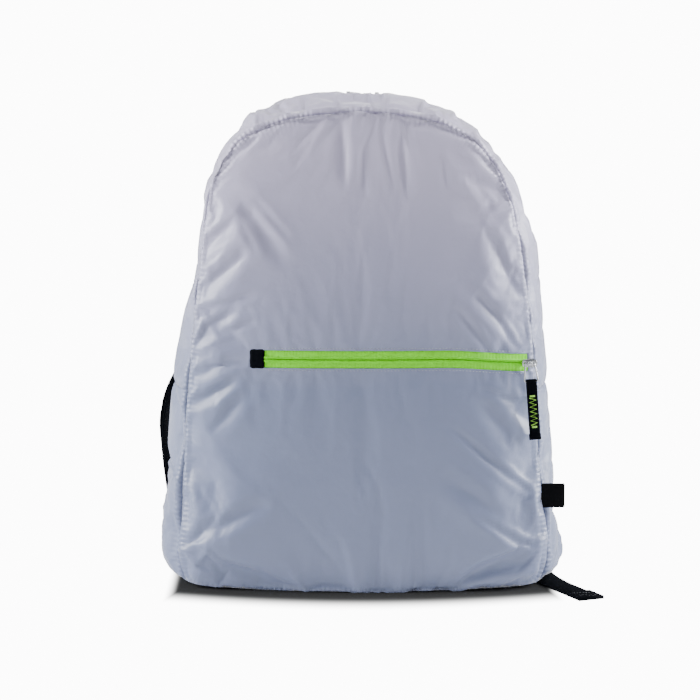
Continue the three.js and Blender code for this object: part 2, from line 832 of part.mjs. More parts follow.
function loopGeometry() {
  const top = loopTopWidth / 2;
  const bottom = loopBottomWidth / 2;
  const corners = [[-top, 0], [top, 0], [bottom, -loopLength], [-bottom, -loopLength]];
  const path = new THREE.CurvePath();
  const vectors = corners.map(([x, z]) => new THREE.Vector3(x, 0, z));
  const cutBack = (index, towards) => {
    const at = vectors[index];
    const direction = vectors[towards].clone().sub(at).normalize();
    return at.clone().addScaledVector(direction, loopCorner);
  };
  for (let index = 0; index < 4; index += 1) {
    const next = (index + 1) % 4;
    path.add(new THREE.LineCurve3(cutBack(index, next), cutBack(next, index)));
    path.add(new THREE.QuadraticBezierCurve3(
      cutBack(next, index), vectors[next], cutBack(next, (next + 1) % 4)));
  }
  return new THREE.TubeGeometry(path, 20, wireRadius, 6, true);
}

// The puller is a doubled tab whose fold holds the loop's lower bar
function pullerGeometry() {
  const eyeRadius = wireRadius + wireClearance;
  const half = pullerThickness / 2;
  const foldRadius = eyeRadius + pullerThickness / 2;
  const side = new THREE.Shape();
  side.moveTo(-half, -pullerLength + half);
  side.lineTo(-half, -foldRadius - pullerNeck);
  side.absarc(0, 0, foldRadius, Math.PI * 1.2, -Math.PI * 0.2, true);
  side.lineTo(half, -foldRadius - pullerNeck);
  side.lineTo(half, -pullerLength + half);
  side.lineTo(0, -pullerLength);
  side.closePath();
  const eye = new THREE.Path();
  eye.absarc(0, 0, eyeRadius, 0, Math.PI * 2, false);
  side.holes.push(eye);
  const tab = new THREE.ExtrudeGeometry(side, { depth: pullerWidth, bevelEnabled: false, curveSegments: 6 });
  tab.translate(0, 0, -pullerWidth / 2);
  tab.rotateX(Math.PI / 2);
  tab.rotateZ(Math.PI / 2);
  return tab;
}

function addZipPull(name, place) {
  const holder = new THREE.Group();
  holder.position.copy(place.position);
  holder.rotation.set(place.tilt, place.turn, 0);
  group.add(holder);
  addMesh(`${name}_slider`, sliderGeometry(), looks.silver, holder);
  const swinging = new THREE.Group();
  swinging.position.set(0, -lugCentre, 0);
  swinging.rotation.set(place.swing, place.lean, 0);
  holder.add(swinging);
  addMesh(`${name}_pull_loop`, loopGeometry(), looks.silver, swinging);
  const puller = addMesh(`${name}_puller`, pullerGeometry(), looks.black, swinging);
  puller.position.set(0, 0, -loopLength);
}

function makePocketPull() {
  const x = pocketZipRight - sliderLength / 2 + pocketSliderOverhang;
  const level = pocketZipLine(x);
  const nearest = Math.min(frontY(x - sliderLength / 2, level), frontY(x, level)) + tapeRecess - coilRise;
  const position = new THREE.Vector3(x, nearest - pieceGap, level);
  const lean = pocketPullLean;
  addZipPull('pocket_zip', { position, tilt: 0, turn: 0, swing: 0, lean });
}

// The arch of the gusset, the main zip let into it, and the lower gusset with the base

function mainZipShares() {
  const archDepth = backSeamY(panelHeight) - frontPlaneY(panelHeight);
  const width = mainZipWidth / archDepth;
  return [mainZipFrontShare, mainZipFrontShare + width / 2, mainZipFrontShare + width];
}

function makeGusset() {
  const [front, middle, back] = mainZipShares();
  addMesh('gusset_arch_front', gussetStrip(rightCross, leftCross, 0, front, stripSteps), looks.cloth);
  addMesh('main_zip_tape_front', gussetStrip(rightCross, leftCross, front, middle, 1, tapeThickness), looks.green);
  addMesh('main_zip_tape_rear', gussetStrip(rightCross, leftCross, middle, back, 1, tapeThickness), looks.green);
  addMesh('gusset_arch_rear', gussetStrip(rightCross, leftCross, back, 1, 2), looks.cloth);
  const base = gussetStrip(leftCross - stationCount, rightCross, 0, 1, baseSteps);
  addMesh('base_gusset', base, looks.cloth);
}

// The point of the arch above a given x, on the flat between two stations
function archPointAbove(x, depthShare) {
  let index = rightCross;
  while (index < leftCross && stations[index + 1].point.x > x) index += 1;
  const from = gussetPoint(index, depthShare);
  const to = gussetPoint(index + 1, depthShare);
  return from.lerp(to, (from.x - x) / (from.x - to.x));
}

// The two sliders meet at the top of the arch, and their pulls lie down the rear slope
function makeMainPulls() {
  const [, middle] = mainZipShares();
  for (const [name, side] of [['left', -1], ['right', 1]]) {
    const x = side * mainSliderSpacing / 2;
    const rearward = archPointAbove(x, middle + sliderProbe).sub(archPointAbove(x, middle - sliderProbe));
    rearward.setX(0).normalize();
    const normal = new THREE.Vector3(0, -rearward.z, rearward.y);
    const position = archPointAbove(x, middle).addScaledVector(normal, mainSliderLift);
    const tilt = Math.atan2(-rearward.y, rearward.z);
    const turn = Math.PI;
    addZipPull(`main_zip_${name}`, { position, tilt, turn, swing: mainPullDroop, lean: 0 });
  }
}

// Back panel, straps and the loop to carry the bag by

function makeBackPanel() {
  addMesh('back_panel', panelGeometry(stepsAcross / 2, stepsUp / 2, backStation, backY, 1), looks.cloth);
}

function routePoint(sign, row) {
  const z = Math.max(row.up * panelHeight, webbingThickness / 2 + floorClearance);
  return new THREE.Vector3(sign * row.out * halfWidth, backSeamY(z) + row.behind * bagDepth, z);
}

// A flat band swept along points, with its width along the given directions
function bandGeometry(points, widths, width, thickness, thicknessAt = () => 1) {
  const rings = points.map((point, index) => {
    const ahead = new THREE.Vector3().subVectors(
      points[Math.min(index + 1, points.length - 1)], points[Math.max(index - 1, 0)]).normalize();
    const across = widths[index].clone().addScaledVector(ahead, -widths[index].dot(ahead)).normalize();
    const normal = new THREE.Vector3().crossVectors(ahead, across);
    const half = width / 2;
    const deep = (thickness / 2) * thicknessAt(index / (points.length - 1));
    const edge = Math.min(half * 0.2, thickness);
    const flat = [[-half, -deep], [half, -deep], [half, deep], [-half, deep]];
    const rounded = [
      [-half, -deep * 0.35], [-half + edge, -deep], [half - edge, -deep], [half, -deep * 0.35],
      [half, deep * 0.35], [half - edge, deep], [-half + edge, deep], [-half, deep * 0.35],
    ];
    const section = thickness > padThickness ? rounded : flat;
    return section.map(([w, n]) => point.clone().addScaledVector(across, w).addScaledVector(normal, n));
  });
  return loftGeometry(rings);
}

function smoothRoute(points, steps) {
  const curve = new THREE.CatmullRomCurve3(points, false, 'centripetal');
  return curve.getSpacedPoints(steps);
}

// Where a buckle sits: just past the padded strap's lower end, in line with it
function buckleFrame(name) {
  const { sign, pad } = strapRoutes[name];
  const end = routePoint(sign, pad[pad.length - 1]);
  const before = routePoint(sign, pad[pad.length - 2]);
  const down = end.clone().sub(before).normalize();
  const across = new THREE.Vector3(1, 0, 0).addScaledVector(down, -down.x).normalize();
  const away = new THREE.Vector3().crossVectors(across, down);
  if (away.y < 0) away.negate();
  return { origin: end.addScaledVector(down, pieceGap), down, across, away };
}

function inBuckle(frame, along, out) {
  return frame.origin.clone().addScaledVector(frame.down, along).addScaledVector(frame.away, out);
}

function makeStrap(name) {
  const { sign, pad } = strapRoutes[name];
  const topX = sign * strapTopOut;
  const topY = restOnBack(topX, strapTopHeight, strapWidth, strapThickness * 2, strapThickness * strapEnd);
  const top = new THREE.Vector3(topX, topY, strapTopHeight);
  const points = smoothRoute([top, ...pad.map((row) => routePoint(sign, row))], strapSteps);
  const widths = points.map(() => new THREE.Vector3(1, 0, 0));
  const rounded = (share) => strapEnd + (1 - strapEnd) * Math.min(1, share * 8, (1 - share) * 8);
  const strap = bandGeometry(points, widths, strapWidth, strapThickness, rounded);
  addMesh(`shoulder_strap_${name}`, strap, looks.black);
}

// A ladder lock: three bars across a flat frame
function makeBuckle(name) {
  const frame = buckleFrame(name);
  const plate = new THREE.Shape();
  const half = buckleWidth / 2;
  const cut = buckleChamfer;
  plate.moveTo(-half + cut, 0);
  plate.lineTo(half - cut, 0);
  plate.lineTo(half, cut);
  plate.lineTo(half, buckleLength - cut);
  plate.lineTo(half - cut, buckleLength);
  plate.lineTo(-half + cut, buckleLength);
  plate.lineTo(-half, buckleLength - cut);
  plate.lineTo(-half, cut);
  plate.closePath();
  const slotHalf = webbingWidth / 2 + slotPlay;
  const slotLength = (buckleLength - 3 * buckleBar) / 2;
  for (const start of [buckleBar, 2 * buckleBar + slotLength]) {
    const slot = new THREE.Path();
    slot.moveTo(-slotHalf, start);
    slot.lineTo(-slotHalf, start + slotLength);
    slot.lineTo(slotHalf, start + slotLength);
    slot.lineTo(slotHalf, start);
    slot.closePath();
    plate.holes.push(slot);
  }
  const buckle = new THREE.ExtrudeGeometry(plate, { depth: buckleThickness, bevelEnabled: false });
  buckle.translate(0, 0, -buckleThickness / 2);
  const mesh = addMesh(`strap_buckle_${name}`, buckle, looks.black);
  const normal = new THREE.Vector3().crossVectors(frame.across, frame.down);
  mesh.quaternion.setFromRotationMatrix(new THREE.Matrix4().makeBasis(frame.across, frame.down, normal));
  mesh.position.copy(frame.origin);
}

// One webbing: up from the lower corner, through the buckle's upper slot, over the bar and down as the free tail
function makeWebbing(name) {
  const { sign, lower, tail } = strapRoutes[name];
  const frame = buckleFrame(name);
  const layer = buckleThickness / 2 + webbingThickness / 2 + webbingPlay;
  const slotLength = (buckleLength - 3 * buckleBar) / 2;
  const turnAt = buckleBar + slotLength / 2;
  const anchor = anchorPoint(name);
  const points = [
    anchor,
    anchor.clone().add(new THREE.Vector3(0, webbingThickness * 0.4, anchorReach * 0.22)),
    anchor.clone().add(new THREE.Vector3(sign, webbingThickness * 1.6, anchorReach * 0.6)),
    ...lower.slice().reverse().map((row) => routePoint(sign, row)),
    inBuckle(frame, buckleLength + webbingLead, -layer - 2 * webbingPlay),
    inBuckle(frame, buckleLength, -layer),
    inBuckle(frame, buckleLength / 2, -layer),
    inBuckle(frame, turnAt + 2.6, -layer * 0.9),
    inBuckle(frame, turnAt, 0),
    inBuckle(frame, turnAt + 2.6, layer * 0.9),
    inBuckle(frame, buckleLength / 2, layer),
    inBuckle(frame, buckleLength, layer),
    inBuckle(frame, buckleLength + webbingLead, layer + 2 * webbingPlay),
    ...tail.map((row) => routePoint(sign, row)),
  ];
  const turned = (row) => new THREE.Vector3(1, 0, 0).applyAxisAngle(
    new THREE.Vector3(0, 0, 1), THREE.MathUtils.degToRad(row.turn));
  const level = new THREE.Vector3(1, 0, 0);
  const facing = [
    level, level, level,
    ...lower.slice().reverse().map(turned),
    ...Array.from({ length: 9 }, () => frame.across),
    ...tail.map(turned),
  ];
  const curve = new THREE.CatmullRomCurve3(points, false, 'centripetal');
  const rings = [];
  const widths = [];
  const spans = points.length - 1;
  for (let step = 0; step <= spans * spanSteps; step += 1) {
    const share = step / (spans * spanSteps);
    const place = share * spans;
    const low = Math.min(spans - 1, Math.floor(place));
    const point = curve.getPoint(share);
    point.z = Math.max(point.z, webbingThickness / 2 + floorClearance);
    rings.push(point);
    widths.push(facing[low].clone().lerp(facing[low + 1], place - low).normalize());
  }
  addMesh(`webbing_${name}`, bandGeometry(rings, widths, webbingWidth, webbingThickness), looks.black);
}

// Where a piece lies on the back panel: its middle plane, clear of the cloth over its whole width
function restOnBack(x, z, width, height, thickness) {
  const places = [-0.5, 0, 0.5].flatMap((a) => [-0.5, 0, 0.5].map((b) => backY(x + a * width, z + b * height)));
  return Math.max(...places) + pieceGap + backSeat + thickness / 2;
}

// The cloth tab in the lower corner that the webbing is sewn to
function anchorPoint(name) {
  const sign = name === 'left' ? -1 : 1;
  const x = sign * (halfWidth - anchorReach * anchorIn);
  const z = anchorReach * anchorUp;
  const tabY = restOnBack(x, z, anchorReach, anchorReach, anchorThickness);
  return new THREE.Vector3(x, tabY + anchorThickness / 2 + pieceGap + webbingThickness / 2, z);
}

function makeAnchor(name) {
  const sign = name === 'left' ? -1 : 1;
  const anchor = anchorPoint(name);
  const reach = anchorReach;
  const tab = new THREE.Shape();
  tab.moveTo(-sign * reach * 0.75, -reach * 0.62);
  tab.lineTo(sign * reach * 0.3, -reach * 0.62);
  tab.lineTo(sign * reach * 0.56, -reach * 0.3);
  tab.lineTo(sign * webbingWidth * 0.54, reach * 0.3);
  tab.lineTo(-sign * webbingWidth * 0.54, reach * 0.3);
  tab.closePath();
  const geometry = new THREE.ExtrudeGeometry(tab, { depth: anchorThickness, bevelEnabled: false });
  geometry.rotateX(Math.PI / 2);
  const mesh = addMesh(`strap_anchor_${name}`, geometry, looks.cloth);
  mesh.position.set(anchor.x, anchor.y - webbingThickness / 2 - pieceGap, anchor.z);
}

// A flat loop of tape sewn to the top of the back panel
function makeHaulLoop() {
  const half = haulSpan / 2;
  const rows = [
    { out: -1, rise: -0.35 }, { out: -1, rise: 0 }, { out: -0.9, rise: 0.6 }, { out: -0.5, rise: 0.95 },
    { out: 0, rise: 1.05 }, { out: 0.5, rise: 0.95 }, { out: 0.9, rise: 0.6 }, { out: 1, rise: 0 },
    { out: 1, rise: -0.35 },
  ];
  const points = smoothRoute(rows.map(({ out, rise }) => {
    const x = out * half;
    const z = haulFoot + rise * haulRise;
    return new THREE.Vector3(x, restOnBack(x, z, haulThickness, haulThickness, haulWidth), z);
  }), haulSteps);
  const widths = points.map(() => new THREE.Vector3(0, 1, 0));
  addMesh('haul_loop', bandGeometry(points, widths, haulWidth, haulThickness), looks.grey);
}

function makeLabel() {
  const station = stations[stationAtHeight(labelLevel, 1)];
  const label = new THREE.BoxGeometry(labelReach, labelThickness, labelHeight);
  const mesh = addMesh('side_label', label, looks.black);
  const seamY = frontSeamY(station.point.x, labelLevel);
  const labelX = station.point.x + labelReach / 2 + pieceGap;
  mesh.position.set(labelX, seamY - labelThickness / 2 - pieceGap, labelLevel);
}

makeFrontPanel();
makePocketZip();
makePocketPull();
makeGusset();
makeMainPulls();
makeBackPanel();
makeStrap('right');
makeStrap('left');
for (const name of ['right', 'left']) {
  makeBuckle(name);
  makeWebbing(name);
  makeAnchor(name);
}
makeHaulLoop();
makeLabel();

export default group;
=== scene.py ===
"""A packable daypack of thin satin nylon: cloth skin, zips, pullers, label, straps and webbing."""

import math

import bpy
import numpy as np
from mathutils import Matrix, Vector


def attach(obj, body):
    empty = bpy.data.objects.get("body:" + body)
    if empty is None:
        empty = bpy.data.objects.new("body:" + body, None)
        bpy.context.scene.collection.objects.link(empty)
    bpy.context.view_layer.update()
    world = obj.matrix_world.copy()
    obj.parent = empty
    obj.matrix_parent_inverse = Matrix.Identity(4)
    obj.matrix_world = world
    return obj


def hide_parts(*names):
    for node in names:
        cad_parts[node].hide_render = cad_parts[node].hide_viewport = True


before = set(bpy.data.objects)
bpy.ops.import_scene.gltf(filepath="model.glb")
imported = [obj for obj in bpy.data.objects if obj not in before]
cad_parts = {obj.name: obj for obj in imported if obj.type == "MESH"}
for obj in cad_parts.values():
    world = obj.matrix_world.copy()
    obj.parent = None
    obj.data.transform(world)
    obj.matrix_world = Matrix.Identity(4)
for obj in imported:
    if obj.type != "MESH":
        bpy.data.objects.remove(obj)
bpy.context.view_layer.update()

# Sizes in metres, the same as the solids have
MM = 0.001
PANEL_WIDTH = 324 * MM
PANEL_HEIGHT = 421 * MM
BAG_DEPTH = 148 * MM
TOP_LEAN = 16 * MM
BACK_TOP_DROP = 10 * MM
FRONT_FULLNESS = 33 * MM
BACK_FULLNESS = 9 * MM
GUSSET_BULGE = 20 * MM
BASE_BOW = 28 * MM
CREST_SKEW = 0.82
CLOTH_WALL = 1.0 * MM
FOLD_DEPTH = 4.6 * MM
PIECE_GAP = 0.32 * MM
HALF_WIDTH = PANEL_WIDTH / 2
BACK_SHARE = (PANEL_HEIGHT - BACK_TOP_DROP) / PANEL_HEIGHT

ZIP_HEIGHT = 208 * MM
ZIP_WIDTH = 15.4 * MM
ZIP_START = -99 * MM
ZIP_END = 146.9 * MM
ZIP_SEAM_X = 151.4 * MM
ZIP_DROOP = 6 * MM
STOP_LENGTH = 14 * MM
TAPE_SINK = 0.35 * MM
MAIN_ZIP_FRONT = 0.7
MAIN_ZIP_WIDTH = 20 * MM
CROSS_SEAM_HEIGHT = 176 * MM

WIRE_RADIUS = 0.8 * MM
LOOP_TOP = 4.0 * MM
LOOP_BOTTOM = 6.2 * MM
LOOP_LENGTH = 16 * MM
PULLER_WIDTH = 9.6 * MM
PULLER_LENGTH = 52 * MM
PULLER_LAYER = 1.05 * MM

STRAP_WIDTH = 62 * MM
STRAP_THICKNESS = 7 * MM
STRAP_TOP_OUT = 50 * MM
STRAP_TOP_HEIGHT = 362 * MM
WEBBING_WIDTH = 25 * MM
WEBBING_THICKNESS = 1.6 * MM
FLOOR_CLEARANCE = 0.15 * MM
BACK_SEAT = 0.25 * MM
BUCKLE_WIDTH = 36 * MM
BUCKLE_LENGTH = 30 * MM
BUCKLE_THICKNESS = 4.4 * MM
BUCKLE_BAR = 4.6 * MM
ANCHOR_REACH = 26 * MM
ANCHOR_THICKNESS = 2 * MM
HAUL_WIDTH = 20 * MM
HAUL_THICKNESS = 1.8 * MM
HAUL_SPAN = 60 * MM
HAUL_RISE = 20 * MM
HAUL_FOOT = 376 * MM
LABEL_REACH = 20 * MM
LABEL_HEIGHT = 22 * MM
LABEL_THICKNESS = 0.9 * MM
LABEL_LEVEL = 82 * MM
SEAM_TUCK = 0.9 * MM
SEAM_GAP_SHARE = 0.8
TAIL_FOLD = 27 * MM
X_AXIS = np.array([1.0, 0, 0])

# Stitches in millimetres: pitch, length, half of the thickness
ZIP_STITCH = (3, 2.2, 0.32)
STRAP_STITCH = (3.2, 2.4, 0.35)
TAIL_STITCH = (2.6, 2, 0.32)
ANCHOR_STITCH = (3, 2.2, 0.3)

# Steps of the seam curve and of the fine cloth grids
SPAN_STEPS = 60
RIM_PLACES = 2000
ACROSS = 132
ROWS_BELOW = 74
ROWS_ABOVE = 78
NEAR_ZIP = np.array([0, 0.5, 1.3, 2.3, 3.6]) * MM
SEAM_STEPS = (126, 150)
BACK_STEPS = (76, 92)
STRIP_STEPS = 30
REAR_STEPS = 7

# Cloth behaviour
GROWTH = 0.05
PRESSURE = 3.0
FRAMES = 22
BLUR_PASSES = 110
FINE_GAIN = 1.25
BROAD_GAIN = 0.1
MOST_MOVED = 7 * MM
CLOTH_SETTINGS = {
    "quality": 6,
    "mass": 0.06,
    "tension_stiffness": 25,
    "compression_stiffness": 25,
    "shear_stiffness": 12,
    "bending_stiffness": 0.02,
    "tension_damping": 12,
    "compression_damping": 12,
    "shear_damping": 12,
    "shrink_min": -GROWTH,
    "vertex_group_mass": "held",
    "use_pressure": True,
    "uniform_pressure_force": PRESSURE,
}

# The seam round the front panel, anticlockwise from the middle of the bottom:
# share of half the width, share of the height, bulge of the gusset there
SEAM_OUTLINE = [
    (0, 0, 0), (0.45, 0, 0), (0.8, 0, 0.15), (0.955, 0.011, 0.95), (1, 0.045, 1.05), (0.999, 0.13, 0.84),
    (0.975, 0.24, 0.72), (0.948, 0.4, 0.58), (0.93, 0.52, 0.52), (0.896, 0.64, 0.68), (0.85, 0.75, 0.72),
    (0.782, 0.835, 0.62), (0.702, 0.9, 0.44), (0.592, 0.946, 0.5), (0.4, 0.982, 0.86), (0.12, 0.998, 1.02),
    (-0.15, 1, 1.04), (-0.4, 0.988, 1), (-0.58, 0.963, 0.86), (-0.72, 0.925, 0.45), (-0.81, 0.865, 0.27),
    (-0.862, 0.78, 0.15), (-0.898, 0.67, 0.17), (-0.932, 0.54, 0.5), (-0.966, 0.4, 0.74),
    (-0.992, 0.24, 0.86), (-1, 0.13, 0.98), (-1, 0.045, 1.05), (-0.955, 0.011, 0.95), (-0.8, 0, 0.15),
    (-0.45, 0, 0),
]

# Height share, fullness of the front
FULLNESS = [(0, 1), (0.3, 1), (0.5, 0.94), (0.75, 0.78), (0.92, 0.6), (1, 0.55)]

# Folds of the front: from side and up, to side and up, width, depth
FRONT_FOLDS = [
    (-0.74, 0.86, -0.4, 0.68, 0.07, 0.8),
    (-0.9, 0.72, -0.52, 0.82, 0.06, 0.25),
    (-0.94, 0.6, -0.6, 0.73, 0.06, 0.8),
    (-0.96, 0.51, -0.66, 0.61, 0.05, 0.7),
    (-0.62, 0.49, -0.97, 0.45, 0.05, 0.7),
    (-0.64, 0.46, -0.98, 0.38, 0.05, 0.8),
    (-0.6, 0.44, -0.9, 0.3, 0.06, 0.6),
    (-0.12, 0.99, -0.1, 0.84, 0.05, 0.6),
    (0.18, 0.98, 0.24, 0.82, 0.06, 0.6),
    (0.62, 0.8, 0.9, 0.58, 0.07, 0.9),
    (0.5, 0.66, 0.92, 0.52, 0.06, 0.6),
    (0.6, 0.42, 0.96, 0.25, 0.07, 0.8),
    (0.36, 0.27, 0.97, 0.1, 0.08, 0.7),
    (0.56, 0.05, 0.95, 0.06, 0.06, 0.7),
    (-0.5, 0.2, -0.97, 0.1, 0.07, 0.7),
    (-0.62, 0.84, -0.37, 0.73, 0.034, 0.34),
    (-0.66, 0.79, -0.57, 0.7, 0.03, 0.26),
    (-0.88, 0.59, -0.57, 0.63, 0.032, 0.34),
    (-0.9, 0.53, -0.58, 0.57, 0.032, 0.36),
    (-0.02, 0.96, 0.02, 0.82, 0.03, 0.26),
    (0.1, 0.96, 0.17, 0.83, 0.03, 0.34),
    (0.4, 0.94, 0.47, 0.82, 0.034, 0.3),
    (0.54, 0.91, 0.78, 0.74, 0.04, 0.42),
    (0.6, 0.63, 0.87, 0.5, 0.04, 0.42),
    (0.5, 0.6, 0.71, 0.5, 0.034, 0.34),
    (0.62, 0.43, 0.84, 0.4, 0.03, 0.3),
    (0.42, 0.37, 0.93, 0.2, 0.036, 0.42),
    (0.58, 0.17, 0.94, 0.09, 0.036, 0.4),
]

# Strap routes, as in the solids: out, behind, up, and for webbing the turn of its width in degrees
STRAPS = {
    "right": {
        "sign": 1,
        "pad": [(0.31, 0.15, 0.845), (0.32, 0.33, 0.76), (0.38, 0.46, 0.66), (0.52, 0.5, 0.56),
                (0.68, 0.45, 0.475)],
        "lower": [(0.82, 0.27, 0.3, 10), (0.9, 0.16, 0.17, 10)],
        "tail": [(0.94, 0.42, 0.27, 0), (1.0, 0.42, 0.13, 0), (1.03, 0.36, 0.03, 0), (1.03, 0.2, 0, 0),
                 (0.99, -0.3, 0, 0), (0.985, -0.64, 0, 0), (1.05, -0.94, 0, 0), (1.16, -1.22, 0, 0),
                 (1.235, -1.4, 0, 0)],
    },
    "left": {
        "sign": -1,
        "pad": [(0.31, 0.15, 0.845), (0.33, 0.34, 0.76), (0.43, 0.46, 0.67), (0.62, 0.48, 0.565),
                (0.84, 0.4, 0.47)],
        "lower": [(1.13, 0.24, 0.3, 70), (1.08, 0.14, 0.16, 60)],
        "tail": [(1.13, 0.5, 0.3, 40), (1.12, 0.52, 0.2, 20), (1.08, 0.52, 0.08, 10)],
    },
}

# Each pull: body, hinge point, way the zip runs, way the puller hangs, way the slider's nose hangs
PULLS = {
    "pocket_zip": (
        "pocket_pull", (0.14728, -0.08543, 0.20228), (0.99696, 0, 0.07792), (0.07792, 0, -0.99696), 0),
    "main_zip_left": ("main_pull_left", (-0.013, 0.04131, 0.43241), (-1, 0, 0), (0, 0.887, -0.462), 0.1),
    "main_zip_right": ("main_pull_right", (0.013, 0.04149, 0.43158), (-1, 0, 0), (0, 0.873, -0.488), 0.1),
}

# Half of the pocket zip's section in millimetres, from the teeth outward: across, rise. It starts at its
# hidden edge, then has the flat tape, a raised seam and the edge under the cloth.
POCKET_TAPE_SECTION = [
    (0.15, -0.5), (0.35, 0.75), (1.3, 1.0), (2.3, 0.75), (2.7, 0.1), (3.2, 0.0), (4.6, 0.12), (6.2, 0.0),
    (7.2, -0.25), (8.6, -1.0), (8.6, -1.5), (4.0, -1.2), (0.15, -1.2),
]

# The same for half of the main zip, whose wall gives it its underside
MAIN_TAPE_SECTION = [
    (0.15, -0.4), (0.35, 0.8), (1.4, 1.1), (2.5, 0.8), (3.0, 0.1), (4.5, 0.0), (6.5, 0.12), (8.6, 0.0),
    (9.8, -0.3), (10.9, -1.0),
]

# Section of a padded strap: share of half the width, share of half the thickness
STRAP_SECTION = [
    (-1, 0.12), (-0.985, 0.4), (-0.95, 0.5), (-0.915, 0.42), (-0.89, 0.24), (-0.8, 0.62), (-0.6, 0.86),
    (-0.3, 0.98), (0, 1), (0.3, 0.98), (0.6, 0.86), (0.8, 0.62), (0.89, 0.24), (0.915, 0.42), (0.95, 0.5),
    (0.985, 0.4), (1, 0.12),
]


# The seam curve and the surfaces hung on it

def smoothstep(low, high, value):
    share = np.clip((np.asarray(value, float) - low) / (high - low), 0, 1)
    return share * share * (3 - 2 * share)


def look_up(table, column, value):
    value = np.asarray(value, float)
    result = np.full(value.shape, float(table[0][column]))
    for low, high in zip(table[:-1], table[1:]):
        share = smoothstep(low[0], high[0], value)
        result = np.where(value >= low[0], low[column] + share * (high[column] - low[column]), result)
    return result


def through(points, steps, closed):
    """A centripetal Catmull-Rom curve through points, sampled evenly in each span."""
    points = np.asarray(points, float)
    if closed:
        padded = np.vstack([points[-1:], points, points[:2]])
    else:
        padded = np.vstack([2 * points[0] - points[1], points, 2 * points[-1] - points[-2]])
    samples = []
    t = (np.arange(steps) / steps)[:, None]
    for i in range(len(padded) - 3):
        p0, p1, p2, p3 = padded[i:i + 4]
        spans = ((p0, p1), (p1, p2), (p2, p3))
        d0, d1, d2 = (max(np.sum((b[:3] - a[:3]) ** 2) ** 0.25, 1e-9) for a, b in spans)
        t1 = ((p1 - p0) / d0 - (p2 - p0) / (d0 + d1) + (p2 - p1) / d1) * d1
        t2 = ((p2 - p1) / d1 - (p3 - p1) / (d1 + d2) + (p3 - p2) / d2) * d1
        samples.append(p1 + t1 * t + (-3 * p1 + 3 * p2 - 2 * t1 - t2) * t ** 2
                       + (2 * p1 - 2 * p2 + t1 + t2) * t ** 3)
    curve = np.vstack(samples)
    return curve if closed else np.vstack([curve, points[-1:]])


def unit(vectors):
    return vectors / np.linalg.norm(vectors, axis=-1, keepdims=True)


def lengths_along(points):
    return np.concatenate([[0], np.cumsum(np.linalg.norm(np.diff(points, axis=0), axis=1))])


def evenly(points, count):
    lengths = lengths_along(points)
    places = np.linspace(0, lengths[-1], count + 1)
    return np.stack([np.interp(places, lengths, points[:, k]) for k in range(points.shape[1])], 1)


OUTLINE = np.array([(side * HALF_WIDTH, up * PANEL_HEIGHT) for side, up, _ in SEAM_OUTLINE])
SEAM = through(OUTLINE, SPAN_STEPS, True)
BULGE = np.interp(np.arange(len(SEAM)) / SPAN_STEPS, np.arange(len(SEAM_OUTLINE) + 1),
                  [row[2] for row in SEAM_OUTLINE] + [0]) * GUSSET_BULGE
BULGE = np.convolve(np.concatenate([BULGE[-20:], BULGE, BULGE[:20]]), np.ones(41) / 41, "valid")
SEAM_LOOP = np.vstack([SEAM, SEAM[:1]])
SEAM_LENGTHS = lengths_along(SEAM_LOOP)
SEAM_LENGTH = SEAM_LENGTHS[-1]


def seam_point(share):
    distance = np.mod(np.asarray(share, float), 1) * SEAM_LENGTH
    x = np.interp(distance, SEAM_LENGTHS, SEAM_LOOP[:, 0])
    z = np.maximum(0, np.interp(distance, SEAM_LENGTHS, SEAM_LOOP[:, 1]))
    return np.stack([x, z], -1)


def seam_bulge(share):
    distance = np.mod(np.asarray(share, float), 1) * SEAM_LENGTH
    return np.interp(distance, SEAM_LENGTHS, np.append(BULGE, BULGE[0]))


def from_top(distance):
    """Distance along the seam from the top's middle, either way, so that it has no jump."""
    return np.abs(np.mod(distance, SEAM_LENGTH) - SEAM_LENGTH / 2)


def corner_share(side, up):
    places = np.arange(1000) / 1000
    away = np.linalg.norm(seam_point(places) - [side * HALF_WIDTH, up * PANEL_HEIGHT], axis=1)
    return places[np.argmin(away)]


LOWER_RIGHT, UPPER_RIGHT, UPPER_LEFT, LOWER_LEFT = (
    corner_share(side, up) for side, up in ((1, 0), (0.7, 1), (-0.7, 1), (-1, 0)))


def seam_outward(places):
    """The way out of the bag at places on the seam, as x and z."""
    ahead = unit(seam_point(places + 0.002) - seam_point(places - 0.002))
    return np.stack([ahead[:, 1], -ahead[:, 0]], 1)


def stations(across, up):
    """Places round the seam from the lower left corner, their points, and the way out of the bag at each."""
    runs = ((LOWER_LEFT - 1, LOWER_RIGHT, across), (LOWER_RIGHT, UPPER_RIGHT, up),
            (UPPER_RIGHT, UPPER_LEFT, across), (UPPER_LEFT, LOWER_LEFT, up))
    places = np.concatenate([a + (b - a) * np.arange(n) / n for a, b, n in runs])
    return places, seam_point(places), seam_outward(places)


MIDDLE = np.array([0, PANEL_HEIGHT * 0.45])
ARMS = seam_point(np.arange(1440) / 1440) - MIDDLE
ARM_ANGLES = np.arctan2(ARMS[:, 1], ARMS[:, 0])
ARM_ORDER = np.argsort(ARM_ANGLES)


def rim_share(x, z):
    """0 in the panel's middle and 1 at its seam."""
    arm_x = x - MIDDLE[0]
    arm_z = z - MIDDLE[1]
    reach = np.interp(np.arctan2(arm_z, arm_x), ARM_ANGLES[ARM_ORDER],
                      np.linalg.norm(ARMS, axis=1)[ARM_ORDER], period=2 * math.pi)
    return np.minimum(1, np.hypot(arm_x, arm_z) / reach)


def front_plane_y(z):
    return -BAG_DEPTH / 2 + TOP_LEAN * (z / PANEL_HEIGHT) ** 2


def seam_bow(x, z):
    low = 1 - smoothstep(0, 0.3, z / PANEL_HEIGHT)
    return BASE_BOW * low * np.maximum(0, 1 - (x / HALF_WIDTH) ** 2)


def front_seam_y(x, z):
    return front_plane_y(z) - seam_bow(x, z)


